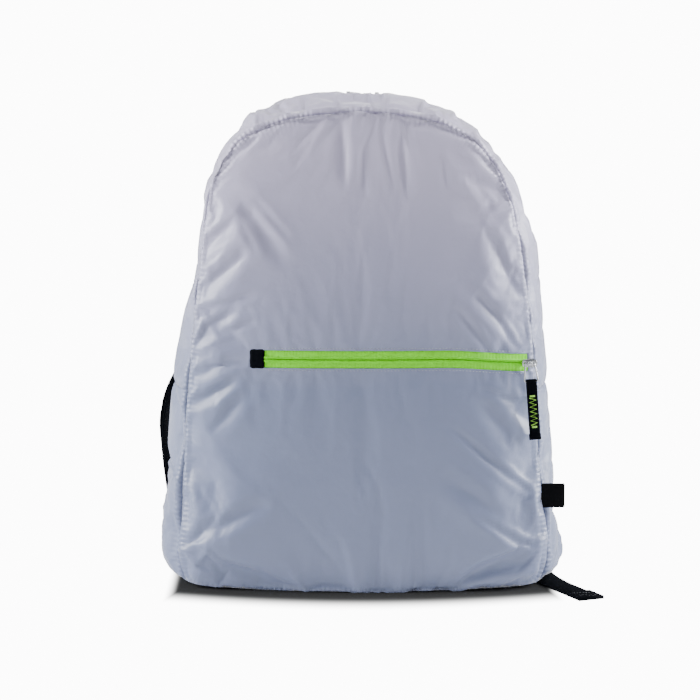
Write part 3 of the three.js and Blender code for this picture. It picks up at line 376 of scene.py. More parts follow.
def back_seam_y(x, z):
    return BAG_DEPTH / 2 - TOP_LEAN / 2 * (z / PANEL_HEIGHT) ** 2 + 0 * x


def fold_relief(x, z):
    relief = np.zeros_like(x)
    for from_side, from_up, to_side, to_up, width, depth in FRONT_FOLDS:
        run = np.array([(to_side - from_side) * HALF_WIDTH, (to_up - from_up) * PANEL_HEIGHT])
        length = np.hypot(*run)
        dx = x - from_side * HALF_WIDTH
        dz = z - from_up * PANEL_HEIGHT
        along = (dx * run[0] + dz * run[1]) / length ** 2
        across = (dx * run[1] - dz * run[0]) / length
        spread = (across / (width * HALF_WIDTH)) ** 2
        crest = depth * FOLD_DEPTH * np.sin(np.pi * np.clip(along, 0, 1))
        relief += np.where((along > 0) & (along < 1), crest * (1 - 2 * spread) * np.exp(-spread), 0)
    return relief


def front_y(x, z):
    x, z = np.asarray(x, float), np.asarray(z, float)
    rim = rim_share(x, z)
    full = FRONT_FULLNESS * look_up(FULLNESS, 1, z / PANEL_HEIGHT)
    low = 1 - smoothstep(0, 0.32, z / PANEL_HEIGHT)
    domed = np.maximum(0, 1 - rim ** (2.6 + 4 * low)) ** (0.7 - 0.1 * low)
    return front_plane_y(z) - full * domed - seam_bow(x, z) * (1 - domed) + fold_relief(x, z) * (1 - rim ** 8)


def back_y(x, z):
    x, z = np.asarray(x, float), np.asarray(z, float)
    rim = rim_share(x, z / BACK_SHARE)
    return back_seam_y(x, z) + BACK_FULLNESS * np.maximum(0, 1 - rim ** 2.6) ** 0.7


def pocket_line(x):
    return ZIP_HEIGHT - ZIP_DROOP * smoothstep(0.45, 1.05, np.asarray(x) / ZIP_SEAM_X)


def row_heights(level, bottom, top):
    """Heights of the front's rows in one column, close together along both edges of the pocket zip."""
    half = ZIP_WIDTH / 2
    below = level - half - NEAR_ZIP[::-1]
    inside = level + half * np.array([-0.5, 0, 0.5])
    above = level + half + NEAR_ZIP
    lower = np.linspace(bottom, below[0], ROWS_BELOW, endpoint=False)
    upper = np.linspace(above[-1], top, ROWS_ABOVE + 1)[1:]
    return np.concatenate([lower, below, inside, above, upper])


LOW_EDGE_ROW = ROWS_BELOW + len(NEAR_ZIP) - 1
HIGH_EDGE_ROW = LOW_EDGE_ROW + 4


def side_x(heights, start, end):
    points = seam_point(np.linspace(start, end, 400))
    order = np.argsort(points[:, 1])
    return np.interp(heights, points[order, 1], points[order, 0])


def between_edges(bottom, top, left, right, u, v):
    """The surface that four edges of numbers or points span, when they share their corners."""
    return ((1 - v) * bottom[None] + v * top[None] + (1 - u) * left[:, None] + u * right[:, None]
            - (1 - u) * (1 - v) * bottom[0] - u * (1 - v) * bottom[-1]
            - (1 - u) * v * top[0] - u * v * top[-1])


def front_grid():
    u = np.linspace(0, 1, ACROSS + 1)
    bottom = seam_point(LOWER_LEFT - 1 + (LOWER_RIGHT - LOWER_LEFT + 1) * u)
    top = seam_point(UPPER_LEFT + (UPPER_RIGHT - UPPER_LEFT) * u)
    left_z = row_heights(pocket_line(-ZIP_SEAM_X), bottom[0, 1], top[0, 1])
    right_z = row_heights(pocket_line(ZIP_SEAM_X), bottom[-1, 1], top[-1, 1])
    left_x = side_x(left_z, UPPER_LEFT, LOWER_LEFT)
    right_x = side_x(right_z, LOWER_RIGHT, UPPER_RIGHT)
    v = ((right_z - right_z[0]) / (right_z[-1] - right_z[0]))[:, None]
    x = between_edges(bottom[:, 0], top[:, 0], left_x, right_x, u[None], v)
    level = pocket_line(x[LOW_EDGE_ROW])
    z = np.stack([row_heights(level[k], bottom[k, 1], top[k, 1]) for k in range(ACROSS + 1)], 1)
    return finish_panel(x, z, front_y, front_seam_y)


def finish_panel(x, z, surface_y, seam_y):
    y = surface_y(x, z)
    edge = np.zeros(y.shape, bool)
    edge[0] = edge[-1] = True
    edge[:, 0] = edge[:, -1] = True
    return np.stack([x, np.where(edge, seam_y(x, z), y), z], -1), edge


def back_grid():
    across, up = BACK_STEPS
    _, points, _ = stations(across, up)
    points = points * [1, BACK_SHARE]
    bottom = points[:across + 1]
    right = points[across:across + up + 1]
    top = points[across + up:2 * across + up + 1][::-1]
    left = np.vstack([points[2 * across + up:], points[:1]])[::-1]
    u = np.linspace(0, 1, across + 1)[None, :, None]
    v = np.linspace(0, 1, up + 1)[:, None, None]
    flat = between_edges(bottom, top, left, right, u, v)
    return finish_panel(flat[..., 0], flat[..., 1], back_y, back_seam_y)


def gusset_points(places, depth_shares):
    points = seam_point(places)
    outward = seam_outward(places)
    front = np.stack([points[:, 0], front_seam_y(points[:, 0], points[:, 1]), points[:, 1]], 1)
    back_z = points[:, 1] * BACK_SHARE
    back = np.stack([points[:, 0], back_seam_y(points[:, 0], back_z), back_z], 1)
    share = np.asarray(depth_shares, float)[None, :, None]
    spine = front[:, None] * (1 - share) + back[:, None] * share
    arch = np.sin(np.pi * np.clip(depth_shares, 0, 1) ** CREST_SKEW) ** 0.75
    reach = seam_bulge(places)[:, None] * arch[None]
    spine[..., 0] += outward[:, :1] * reach
    spine[..., 2] += np.maximum(0, outward[:, 1:]) * reach
    return spine


ARCH_DEPTH = back_seam_y(0, PANEL_HEIGHT) - front_plane_y(PANEL_HEIGHT)
ZIP_SHARE = MAIN_ZIP_WIDTH / ARCH_DEPTH
MAIN_ZIP_BACK = MAIN_ZIP_FRONT + ZIP_SHARE


# Meshes

def new_object(name, verts, faces, values=None):
    mesh = bpy.data.meshes.new(name)
    points = np.asarray(verts, float).reshape(-1, 3).tolist()
    mesh.from_pydata(points, [], [tuple(map(int, face)) for face in faces])
    for key, numbers in (values or {}).items():
        attribute = mesh.attributes.new(key, "FLOAT", "POINT")
        attribute.data.foreach_set("value", np.asarray(numbers, np.float32).ravel())
    for polygon in mesh.polygons:
        polygon.use_smooth = True
    obj = bpy.data.objects.new(name, mesh)
    bpy.context.collection.objects.link(obj)
    return obj


def grid_faces(rows, columns):
    row, column = np.meshgrid(np.arange(rows - 1), np.arange(columns - 1), indexing="ij")
    a = (row * columns + column).ravel()
    return np.stack([a, a + 1, a + columns + 1, a + columns], 1)


def normals_of(grid):
    along = np.gradient(grid, axis=1)
    up = np.gradient(grid, axis=0)
    normal = np.cross(along, up)
    return normal / np.maximum(np.linalg.norm(normal, axis=-1, keepdims=True), 1e-12)


def wall_object(name, grid, thickness, values, skipped=None):
    """A cloth wall of even thickness under a grid whose normals point out, without the skipped faces."""
    rows, columns = grid.shape[:2]
    faces = grid_faces(rows, columns)
    if skipped is not None:
        faces = faces[~skipped.ravel()]
    inner = grid - normals_of(grid) * thickness
    count = rows * columns
    edges = np.concatenate([faces[:, [k, (k + 1) % 4]] for k in range(4)])
    keys = np.sort(edges, 1)
    _, index, uses = np.unique(keys[:, 0] * count + keys[:, 1], return_index=True, return_counts=True)
    rim = edges[index[uses == 1]]
    sides = np.stack([rim[:, 1], rim[:, 0], rim[:, 0] + count, rim[:, 1] + count], 1)
    every = np.concatenate([faces, faces[:, ::-1] + count, sides])
    used = np.unique(every)
    place = np.full(2 * count, -1)
    place[used] = np.arange(len(used))
    points = np.concatenate([grid.reshape(-1, 3), inner.reshape(-1, 3)])[used]
    points[:, 2] = np.maximum(points[:, 2], 0)
    doubled = {key: np.tile(np.ravel(numbers), 2)[used] for key, numbers in values.items()}
    return new_object(name, points, place[every], doubled)


def loft_faces(rings, sides, capped=True, looped=False):
    """Faces round rings of points, each ring joined to the next, and the last to the first if looped."""
    faces = []
    for ring in range(rings if looped else rings - 1):
        start = ring * sides
        following = (ring + 1) % rings * sides
        for side in range(sides):
            after = (side + 1) % sides
            faces.append((start + side, start + after, following + after, following + side))
    if capped and not looped:
        faces.append(tuple(range(sides))[::-1])
        faces.append(tuple(range((rings - 1) * sides, rings * sides)))
    return faces


def loft(rings):
    """A capped solid through rings that have the same number of points."""
    return np.vstack(rings), loft_faces(len(rings), len(rings[0]))


def swept_frame(points, across):
    """Unit vectors at each point of a path: across, made square to the path, and the normal of both."""
    ahead = unit(np.gradient(points, axis=0))
    across = unit(across - ahead * np.sum(across * ahead, 1, keepdims=True))
    return across, np.cross(ahead, across)


def band(points, across, profile):
    """A closed tube of a profile (offset across, offset along the normal) swept along points."""
    across, normal = swept_frame(points, across)
    profile = np.asarray(profile, float)
    if profile.ndim == 2:
        profile = np.repeat(profile[None], len(points), 0)
    rings = points[:, None] + across[:, None] * profile[..., :1] + normal[:, None] * profile[..., 1:]
    count = profile.shape[1]
    along = np.repeat(lengths_along(points)[:, None], count, 1)
    return rings.reshape(-1, 3), loft_faces(len(points), count), {"along": along, "across": profile[..., 0]}


def tape_profile(width, thickness, bevel=0.5 * MM, edge=0.4):
    half, deep = width / 2, thickness / 2
    return [(-half, -deep * edge), (-half + bevel, -deep), (half - bevel, -deep), (half, -deep * edge),
            (half, deep * edge), (half - bevel, deep), (-half + bevel, deep), (-half, deep * edge)]


def joined(parts):
    """Several parts as one: their points, their faces, and the values that the materials read."""
    verts, faces, values = [], [], {"along": [], "across": []}
    start = 0
    for points, part_faces, *rest in parts:
        points = np.asarray(points).reshape(-1, 3)
        verts.append(points)
        faces += [tuple(i + start for i in face) for face in part_faces]
        for key in values:
            numbers = rest[0][key] if rest else np.zeros(len(points))
            values[key].append(np.ravel(numbers))
        start += len(points)
    return np.vstack(verts), faces, {key: np.concatenate(numbers) for key, numbers in values.items()}


def tube(points, radius, sides=8, closed=False):
    points = np.asarray(points, float)
    if closed:
        ahead = unit(np.roll(points, -1, 0) - np.roll(points, 1, 0))
    else:
        ahead = unit(np.gradient(points, axis=0))
    span = points.max(0) - points.min(0)
    axis = np.eye(3)[np.argmin(span)]
    across = np.cross(ahead, axis)
    across /= np.maximum(np.linalg.norm(across, axis=1, keepdims=True), 1e-9)
    normal = np.cross(ahead, across)
    angles = np.arange(sides) * 2 * math.pi / sides
    rings = points[:, None] + radius * (across[:, None] * np.cos(angles)[None, :, None]
                                        + normal[:, None] * np.sin(angles)[None, :, None])
    return rings.reshape(-1, 3), loft_faces(len(points), sides, looped=closed)


def stitch_row(points, normals, stitch):
    """Single stitches lying along a path, as thin lozenges sunk to half their height."""
    pitch, length, radius = np.array(stitch) * MM
    lengths = lengths_along(points)
    normals = np.broadcast_to(normals, points.shape)

    def at(distance, rows):
        return np.array([np.interp(distance, lengths, rows[:, k]) for k in range(3)])

    parts = []
    for start in np.arange(pitch / 2, lengths[-1] - length, pitch):
        ends = at(start, points), at(start + length, points)
        normal = unit(at(start, normals))
        side = np.cross(unit(ends[1] - ends[0]), normal) * radius
        up = normal * radius
        middle = (ends[0] + ends[1]) / 2
        verts = [ends[0], middle + side, middle + up, middle - side, middle - up * 0.2, ends[1]]
        faces = [(0, 1, 2), (0, 2, 3), (0, 3, 4), (0, 4, 1), (5, 2, 1), (5, 3, 2), (5, 4, 3), (5, 1, 4)]
        parts.append((verts, faces))
    return parts


def add(name, built, material, nodes=(), body="bag"):
    obj = new_object(name, built[0], built[1], built[2] if len(built) > 2 else None)
    return dress(obj, material, nodes, body)


def dress(obj, material, nodes=(), body="bag"):
    obj.data.materials.append(material)
    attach(obj, body)
    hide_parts(*nodes)
    return obj


# Materials

def principled(name, colour, roughness, metallic=0.0, specular=0.5, sheen=0.0, sheen_roughness=0.5):
    material = bpy.data.materials.new(name)
    material.use_nodes = True
    shader = material.node_tree.nodes["Principled BSDF"]
    shader.inputs["Base Color"].default_value = (*colour, 1)
    shader.inputs["Roughness"].default_value = roughness
    shader.inputs["Metallic"].default_value = metallic
    shader.inputs["Specular IOR Level"].default_value = specular
    shader.inputs["Sheen Weight"].default_value = sheen
    shader.inputs["Sheen Roughness"].default_value = sheen_roughness
    return material


def node(tree, kind, **settings):
    made = tree.nodes.new(kind)
    for key, value in settings.items():
        setattr(made, key, value)
    return made


def math_node(tree, operation, *values):
    """A math node whose sockets take the numbers or the links given, in order."""
    made = node(tree, "ShaderNodeMath", operation=operation)
    for socket, value in zip(made.inputs, values):
        if isinstance(value, (int, float)):
            socket.default_value = value
        else:
            tree.links.new(value, socket)
    return made.outputs[0]


def attribute(tree, name):
    return node(tree, "ShaderNodeAttribute", attribute_name=name).outputs["Fac"]


def place(tree, kind="Object"):
    """The X, Y and Z of the shaded point, as sockets."""
    coordinates = node(tree, "ShaderNodeTexCoord")
    separate = node(tree, "ShaderNodeSeparateXYZ")
    tree.links.new(coordinates.outputs[kind], separate.inputs["Vector"])
    return separate.outputs


def add_bump(tree, height, distance):
    """Adds a bump on top of those already there. distance is the height in metres for a change of one."""
    shader = tree.nodes["Principled BSDF"]
    bump = node(tree, "ShaderNodeBump")
    bump.inputs["Distance"].default_value = distance
    tree.links.new(height, bump.inputs["Height"])
    if shader.inputs["Normal"].is_linked:
        tree.links.new(shader.inputs["Normal"].links[0].from_socket, bump.inputs["Normal"])
    tree.links.new(bump.outputs["Normal"], shader.inputs["Normal"])


def waves(tree, name, pitch):
    return math_node(tree, "SINE", math_node(tree, "MULTIPLY", attribute(tree, name), 2 * math.pi / pitch))


def noise(tree, scale, detail=3.0):
    coordinates = node(tree, "ShaderNodeTexCoord")
    made = node(tree, "ShaderNodeTexNoise")
    made.inputs["Scale"].default_value = scale
    made.inputs["Detail"].default_value = detail
    tree.links.new(coordinates.outputs["Object"], made.inputs["Vector"])
    return made.outputs["Fac"]


def tint_by(tree, factor, low, high):
    ramp = node(tree, "ShaderNodeMix", data_type="RGBA")
    ramp.inputs[6].default_value = (*low, 1)
    ramp.inputs[7].default_value = (*high, 1)
    tree.links.new(factor, ramp.inputs[0])
    tree.links.new(ramp.outputs[2], tree.nodes["Principled BSDF"].inputs["Base Color"])


def nylon_material():
    """Satin cloth with painted shade by height, darker and bluer low down and lighter high up, with a fine
    weave, and with puckers that fade away from a seam.
    """
    material = principled("nylon", (0.4, 0.4, 0.48), 0.4, sheen=0.5, sheen_roughness=0.35)
    tree = material.node_tree
    # Painted shade: the base colour runs from the shaded colour low down to the lit colour high up
    height = math_node(tree, "MULTIPLY", place(tree)["Z"], 1 / PANEL_HEIGHT)
    height = math_node(tree, "ADD", height, math_node(tree, "MULTIPLY", noise(tree, 9), 2 * NYLON_BLUR))
    above = math_node(tree, "SUBTRACT", height, NYLON_TURN + NYLON_BLUR)
    tint_by(tree, math_node(tree, "MULTIPLY", above, 1 / NYLON_SPREAD), NYLON_PAINTED_SHADE, NYLON_PAINTED_LIGHT)
    add_bump(tree, noise(tree, 34, 4), 0.0011)
    add_bump(tree, noise(tree, 2400, 1), 0.00006)
    depth = math_node(tree, "MULTIPLY", attribute(tree, "edge"), -1 / PUCKER_REACH)
    near = math_node(tree, "POWER", math.e, depth)
    uneven = math_node(tree, "MULTIPLY", noise(tree, 30, 2), near)
    add_bump(tree, math_node(tree, "MULTIPLY", waves(tree, "along", PUCKER_PITCH), uneven), 0.0006)
    return material


def tape_material(name, colour, roughness=0.6, rib=0.0012, rib_height=0.00008, specular=0.3):
    material = principled(name, colour, roughness, specular=specular)
    tree = material.node_tree
    darker = tuple(c * 0.82 for c in colour)
    lighter = tuple(min(1, c * 1.15) for c in colour)
    tint_by(tree, noise(tree, 260, 2), darker, lighter)
    add_bump(tree, waves(tree, "along", rib), rib_height)
    add_bump(tree, noise(tree, 1500, 2), 0.00008)
    return material


def cloth_material(name, colour, roughness=0.75):
    material = principled(name, colour, roughness, specular=0.03)
    tree = material.node_tree
    add_bump(tree, noise(tree, 1300, 2), 0.00012)
    add_bump(tree, noise(tree, 60, 3), 0.0006)
    return material


# Painted shade and light on the nylon: darker and bluer low down, lighter high up, standing in for light from
# above on cloth of one colour
NYLON_PAINTED_SHADE = (0.155, 0.182, 0.292)
NYLON_PAINTED_LIGHT = (0.43, 0.4, 0.54)
NYLON_TURN = 0.43
NYLON_SPREAD = 0.5
NYLON_BLUR = 0.06
PUCKER_REACH = 3.5 * MM
PUCKER_PITCH = 4.4 * MM
GREEN = (0.165, 0.7, 0.001)
BLACK = (0.0015, 0.002, 0.0035)

nylon = nylon_material()
green = tape_material("green_tape", GREEN, 0.5, 0.0013, 0.00012, 0.2)
black_tab = tape_material("black_tab", BLACK, 0.7, 0.0011, specular=0.02)
webbing = tape_material("webbing", BLACK, 0.7, 0.0016, 0.00022, 0.02)
grey_tape = tape_material("grey_tape", (0.36, 0.37, 0.43), 0.6)
label_cloth = tape_material("label", (0.002, 0.0022, 0.003), 0.6, 0.0007, 0.00005, 0.04)
strap_cloth = cloth_material("strap_fabric", (0.002, 0.0025, 0.004))
metal = principled("slider_metal", (0.4, 0.41, 0.43), 0.26, metallic=1.0)
plastic = principled("buckle_plastic", (0.008, 0.009, 0.011), 0.42, specular=0.25)
add_bump(plastic.node_tree, noise(plastic.node_tree, 900, 2), 0.00004)
thread_green = principled("thread_green", (0.36, 0.72, 0.1), 0.6, specular=0.2)
thread_grey = principled("thread_grey", (0.33, 0.34, 0.4), 0.7)
thread_black = principled("thread_black", (0.03, 0.034, 0.045), 0.6)


# The cloth skin

def blurred(field, pinned, passes, loop):
    """The broad part of a movement: smoothed over the grid, still nothing where the cloth is held."""
    for _ in range(passes):
        for axis in (0, 1):
            if axis == 0 and loop:
                before, after = np.roll(field, 1, 0), np.roll(field, -1, 0)
            else:
                before = np.concatenate([np.take(field, [0], axis), np.delete(field, -1, axis)], axis)
                after = np.concatenate([np.delete(field, 0, axis), np.take(field, [-1], axis)], axis)
            field = (before + 2 * field + after) / 4
        field[pinned] = 0
    return field


def cloth_pattern(name, grid, pinned, loop):
    """A grid with Cloth on it, held where it is pinned; a loop's last row joins its first."""
    rows, columns = grid.shape[:2]
    faces = grid_faces(rows, columns)
    if loop:
        first = np.arange(columns - 1)
        last = (rows - 1) * columns + first
        faces = np.concatenate([faces, np.stack([last, last + 1, first + 1, first], 1)])
    obj = new_object(name + "_pattern", grid, faces)
    held = obj.vertex_groups.new(name="held")
    held.add(np.flatnonzero(pinned.ravel()).tolist(), 1, "ADD")
    modifier = obj.modifiers.new("cloth", "CLOTH")
    for key, value in CLOTH_SETTINGS.items():
        setattr(modifier.settings, key, value)
    modifier.settings.effector_weights.gravity = 0
    modifier.collision_settings.use_collision = False
    modifier.point_cache.frame_start = 1
    modifier.point_cache.frame_end = FRAMES
    return obj


def crumpled(pieces):
    """Lets slightly oversized cloth settle under pressure between its seams, and keeps its fine folds.
    pieces holds name: (grid, pinned, loop, gain)."""
    made = {name: cloth_pattern(name, *piece[:3]) for name, piece in pieces.items()}
    scene = bpy.context.scene
    for step in range(1, FRAMES + 1):
        scene.frame_set(step)
    graph = bpy.context.evaluated_depsgraph_get()
    result = {}
    for name, obj in made.items():
        grid, pinned, loop, gain = pieces[name]
        settled = obj.evaluated_get(graph)
        flat = np.empty(grid.size)
        settled.to_mesh().vertices.foreach_get("co", flat)
        settled.to_mesh_clear()
        moved = flat.reshape(grid.shape) - grid
        broad = blurred(moved, pinned, BLUR_PASSES, loop)
        moved = (FINE_GAIN * (moved - broad) + BROAD_GAIN * broad) * gain
        size = np.linalg.norm(moved, axis=-1, keepdims=True)
        moved *= np.minimum(1, MOST_MOVED / np.maximum(size, 1e-9))
        result[name] = grid + moved
    for obj in made.values():
        bpy.data.objects.remove(obj)
    scene.frame_set(1)
    return result


def pocket_window(front):
    """The front's faces that are left out for the pocket zip, and its points that are held round it."""
    zip_x = front[LOW_EDGE_ROW, :, 0]
    middle_x = (zip_x[1:] + zip_x[:-1]) / 2
    window = np.zeros((front.shape[0] - 1, front.shape[1] - 1), bool)
    window[LOW_EDGE_ROW:HIGH_EDGE_ROW] = (middle_x > ZIP_START) & (middle_x < ZIP_END)
    held = np.zeros(front.shape[:2], bool)
    held[LOW_EDGE_ROW:HIGH_EDGE_ROW + 1] = (zip_x > ZIP_START - 2 * MM) & (zip_x < ZIP_END + 2 * MM)
    return window, held


def make_gusset_cloth(gusset, places, outward, shares, first, last):
    gusset[..., 2] = np.maximum(0, gusset[..., 2])
    out = np.stack([outward[:, 0], 0 * outward[:, 0], outward[:, 1]], 1)
    for column, gap in ((0, PIECE_GAP), (-1, -PIECE_GAP)):
        gusset[:, column] -= out * SEAM_TUCK
        gusset[:, column, 1] += gap * SEAM_GAP_SHARE
    gusset[..., 2] = np.maximum(0, gusset[..., 2])
    along = np.repeat(from_top(places * SEAM_LENGTH)[:, None], gusset.shape[1], 1)
    depth = shares * ARCH_DEPTH
    edge = np.minimum(depth, ARCH_DEPTH - depth)[None].repeat(len(gusset), 0)
    arch = np.arange(first, last + 1)
    base = np.concatenate([np.arange(last, len(gusset)), np.arange(0, first + 1)])
    for name, rows, columns, replaced in (
            ("gusset_front_cloth", arch, slice(0, STRIP_STEPS + 1), "gusset_arch_front"),
            ("gusset_rear_cloth", arch, slice(STRIP_STEPS + 2, None), "gusset_arch_rear"),
            ("base_cloth", base, slice(0, None), "base_gusset")):
        piece = wall_object(name, gusset[rows][:, columns], CLOTH_WALL,
                            {"along": along[rows][:, columns], "edge": edge[rows][:, columns]})
        dress(piece, nylon, [replaced])


def make_panel_cloth(name, replaced, grid, edge_mask, side, height_share, skipped=None):
    """A panel's wall, its rim tucked into the seam; side is 1 for the front and -1 for the back."""
    inward = np.array([MIDDLE[0], 0, MIDDLE[1]]) - grid
    inward[..., 1] = 0
    grid[edge_mask] += unit(inward)[edge_mask] * PIECE_GAP * SEAM_GAP_SHARE
    grid[edge_mask] += np.array([0, side * SEAM_TUCK, 0])
    rim = seam_point(np.arange(RIM_PLACES) / RIM_PLACES) * [1, height_share]
    flat = grid[..., [0, 2]].reshape(-1, 2)
    distance = np.empty(len(flat))
    along = np.empty(len(flat))
    for start in range(0, len(flat), RIM_PLACES):
        part = slice(start, start + RIM_PLACES)
        away = np.linalg.norm(flat[part, None] - rim[None], axis=2)
        along[part] = from_top(away.argmin(1) / RIM_PLACES * SEAM_LENGTH)
        distance[part] = away.min(1)
    piece = wall_object(name, grid, CLOTH_WALL, {"along": along, "edge": distance}, skipped)
    dress(piece, nylon, [replaced])


def make_skin():
    front, front_edge = front_grid()
    window, held = pocket_window(front)
    back, back_edge = back_grid()
    back = back[:, ::-1]

    places, points, outward = stations(*SEAM_STEPS)
    shares = np.concatenate([
        np.linspace(0, MAIN_ZIP_FRONT, STRIP_STEPS + 1),
        [MAIN_ZIP_FRONT + ZIP_SHARE / 2],
        np.linspace(MAIN_ZIP_BACK, 1, REAR_STEPS + 1)])
    gusset = gusset_points(places, shares)
    arch_rows = np.flatnonzero(points[:, 1] > CROSS_SEAM_HEIGHT)
    first, last = arch_rows[0], arch_rows[-1]
    pinned = np.zeros(gusset.shape[:2], bool)
    pinned[:, 0] = pinned[:, -1] = True
    pinned[first] = pinned[last] = True
    pinned[first:last + 1, STRIP_STEPS:STRIP_STEPS + 3] = True
    pinned |= gusset[..., 2] < 0.5 * MM

    near_rim = smoothstep(0.6, 0.97, rim_share(front[..., 0], front[..., 2]))
    front_gain = (0.3 + 0.38 * near_rim)[..., None]
    cloth = crumpled({
        "front": (front, front_edge | held, False, front_gain),
        "back": (back, back_edge, False, 0.7),
        "gusset": (gusset, pinned, True, 0.62),
    })
    make_gusset_cloth(cloth["gusset"], places, outward, shares, first, last)
    make_panel_cloth("front_cloth", "front_panel", cloth["front"], front_edge, 1, 1, window)
    make_panel_cloth("back_cloth", "back_panel", cloth["back"], back_edge, -1, BACK_SHARE)


# Zips

def under_pocket_zip(x):
    """Height of the pocket zip's middle, and the front's depth and slope there."""
    level = pocket_line(x)
    slope = (front_y(x, level + 2 * MM) - front_y(x, level - 2 * MM)) / (4 * MM)
    return level, front_y(x, level) + TAPE_SINK, slope


def pocket_tape(side):
    """Half of the pocket zip, above its middle for side 1 and below it for -1."""
    offsets = np.array(POCKET_TAPE_SECTION) * MM
    x = np.linspace(ZIP_START + STOP_LENGTH * 0.6, ZIP_END - PIECE_GAP, 130)
    level, surface, slope = under_pocket_zip(x)
    count = len(offsets)
    rings = np.empty((len(x), count, 3))
    rings[..., 0] = x[:, None]
    rings[..., 1] = surface[:, None] + slope[:, None] * side * offsets[:, 0] - offsets[:, 1]
    rings[..., 2] = level[:, None] + side * offsets[:, 0]
    faces = loft_faces(len(x), count, capped=False)
    if side < 0:
        faces = [(a, d, c, b) for a, b, c, d in faces]
    values = {"along": np.repeat(x[:, None], count, 1), "across": np.repeat(offsets[None, :, 0], len(x), 0)}
    return rings.reshape(-1, 3), faces, values


def make_pocket_zip():
    for name, side in (("upper", 1), ("lower", -1)):
        add(f"pocket_tape_{name}_woven", pocket_tape(side), green, [f"pocket_zip_tape_{name}"])
    x = np.arange(ZIP_START + STOP_LENGTH, ZIP_END - 1 * MM, 1.25 * MM)
    tooth = ((0.35 * MM, 0.95 * MM), (1.3 * MM, 1.3 * MM), (2.3 * MM, 0.95 * MM))
    teeth = []
    for middle, level, y, slope in zip(x, *under_pocket_zip(x)):
        for side in (-1, 1):
            ends = [(middle + side * 0.25 * MM, y + slope * side * out - rise, level + side * out)
                    for out, rise in tooth]
            teeth.append(tube(ends, 0.34 * MM, 5))
    add("pocket_zip_coil", joined(teeth), green)
    make_pocket_stop()
    for name, side in (("lower", -1), ("upper", 1)):
        x = np.linspace(ZIP_START + STOP_LENGTH, ZIP_END - 2 * MM, 160)
        z = pocket_line(x) + side * (ZIP_WIDTH / 2 + 2.0 * MM)
        path = np.stack([x, front_y(x, z) - 0.05 * MM, z], 1)
        rows = stitch_row(path, [0, -1.0, 0], ZIP_STITCH)
        add(f"pocket_zip_stitches_{name}", joined(rows), thread_grey)


def make_pocket_stop():
    """The tab over the zip's left end, with rounded corners and edges."""
    uu, vv = np.meshgrid(np.linspace(0, 1, 15), np.linspace(-1, 1, 15))
    half = ZIP_WIDTH / 2 + 1.2 * MM
    corner = (np.clip(1 - np.minimum(uu, 1 - uu) * STOP_LENGTH / (2.4 * MM), 0, 1)) ** 2
    x = ZIP_START - 1 * MM + STOP_LENGTH * uu
    z = pocket_line(x) + half * vv * (1 - 0.22 * corner)
    edge = np.minimum(np.minimum(uu, 1 - uu) * STOP_LENGTH, (1 - np.abs(vv)) * half)
    rise = 1.9 * MM * np.sqrt(np.clip(edge / (1.6 * MM), 0, 1))
    y = front_y(x, z) - rise + 0.9 * MM
    stop = wall_object("pocket_zip_stop_tab", np.stack([x, y, z], -1), 0.9 * MM, {"along": x, "across": z})
    dress(stop, black_tab, ["pocket_zip_stop"])


def arch_places():
    places = np.arange(4000) / 4000
    high = places[seam_point(places)[:, 1] > CROSS_SEAM_HEIGHT]
    return high[0], high[-1]


def make_main_zip():
    start, end = arch_places()
    places = np.linspace(start, end, 300)
    centre = MAIN_ZIP_FRONT + ZIP_SHARE / 2
    offsets = np.array(MAIN_TAPE_SECTION) * MM
    for name, side in (("front", -1), ("rear", 1)):
        shares = centre + side * offsets[:, 0] / ARCH_DEPTH
        order = np.argsort(shares)
        grid = gusset_points(places, shares[order])
        rise = offsets[order, 1] - 0.3 * MM
        grid = grid + normals_of(grid) * rise[None, :, None]
        values = {"along": np.repeat((places * SEAM_LENGTH)[:, None], len(order), 1),
                  "across": np.repeat(offsets[order, 0][None], len(places), 0)}
        piece = wall_object(f"main_tape_{name}_woven", grid, 0.7 * MM, values)
        dress(piece, green, [f"main_zip_tape_{name}"])
    teeth = []
    count = int((end - start) * SEAM_LENGTH / (1.6 * MM))
    for side in (-1, 1):
        fine = np.linspace(start, end, count) + side * 0.2 * MM / SEAM_LENGTH
        shares = centre + side * np.array([0.35, 1.4, 2.5]) * MM / ARCH_DEPTH
        grid = gusset_points(fine, np.sort(shares))
        grid = grid + normals_of(grid) * (np.array([0.7, 1.05, 0.7]) * MM)[None, :, None]
        teeth += [tube(line, 0.36 * MM, 4) for line in grid]
    add("main_zip_coil", joined(teeth), green)


def local_to_world(points, origin, along, away, hang):
    """From a pull's own frame (along the zip, away from the cloth, down the puller) to the bag's."""
    basis = np.array([along, away, hang])
    return np.asarray(points, float).reshape(-1, 3) @ basis + origin


def slider_parts():
    """A slider round its eye: x along the zip, y away from the cloth, z down the puller."""
    outline = [(-6.3, 2.7), (-3.5, 3.4), (1.5, 4.1), (4.2, 3.6), (6.3, 2.2)]
    outline += [(x, -z) for x, z in reversed(outline)]
    closed = through(np.array(outline) * MM, 4, True)
    levels = ((-4.85, 0.93), (-4.6, 1.0), (-3.1, 1.0), (-2.7, 0.97), (-2.45, 0.86))
    rings = [np.stack([closed[:, 0] * share, np.full(len(closed), y * MM), closed[:, 1] * share], 1)
             for y, share in levels]
    angles = np.linspace(-0.35 * math.pi, 1.35 * math.pi, 18)
    eye = np.stack([0 * angles, 2.05 * MM * np.sin(angles), 2.05 * MM * np.cos(angles)], 1)
    wires = [tube(eye + [x * MM, 0, 0], 0.72 * MM) for x in (-1.2, -0.4, 0.4, 1.2)]
    bridge = np.array([(-5.2, -2.5, 0), (-3.8, -1.5, 0), (-2.0, -0.9, 0)]) * MM
    return [loft(rings), *wires, tube(bridge, 0.8 * MM)]


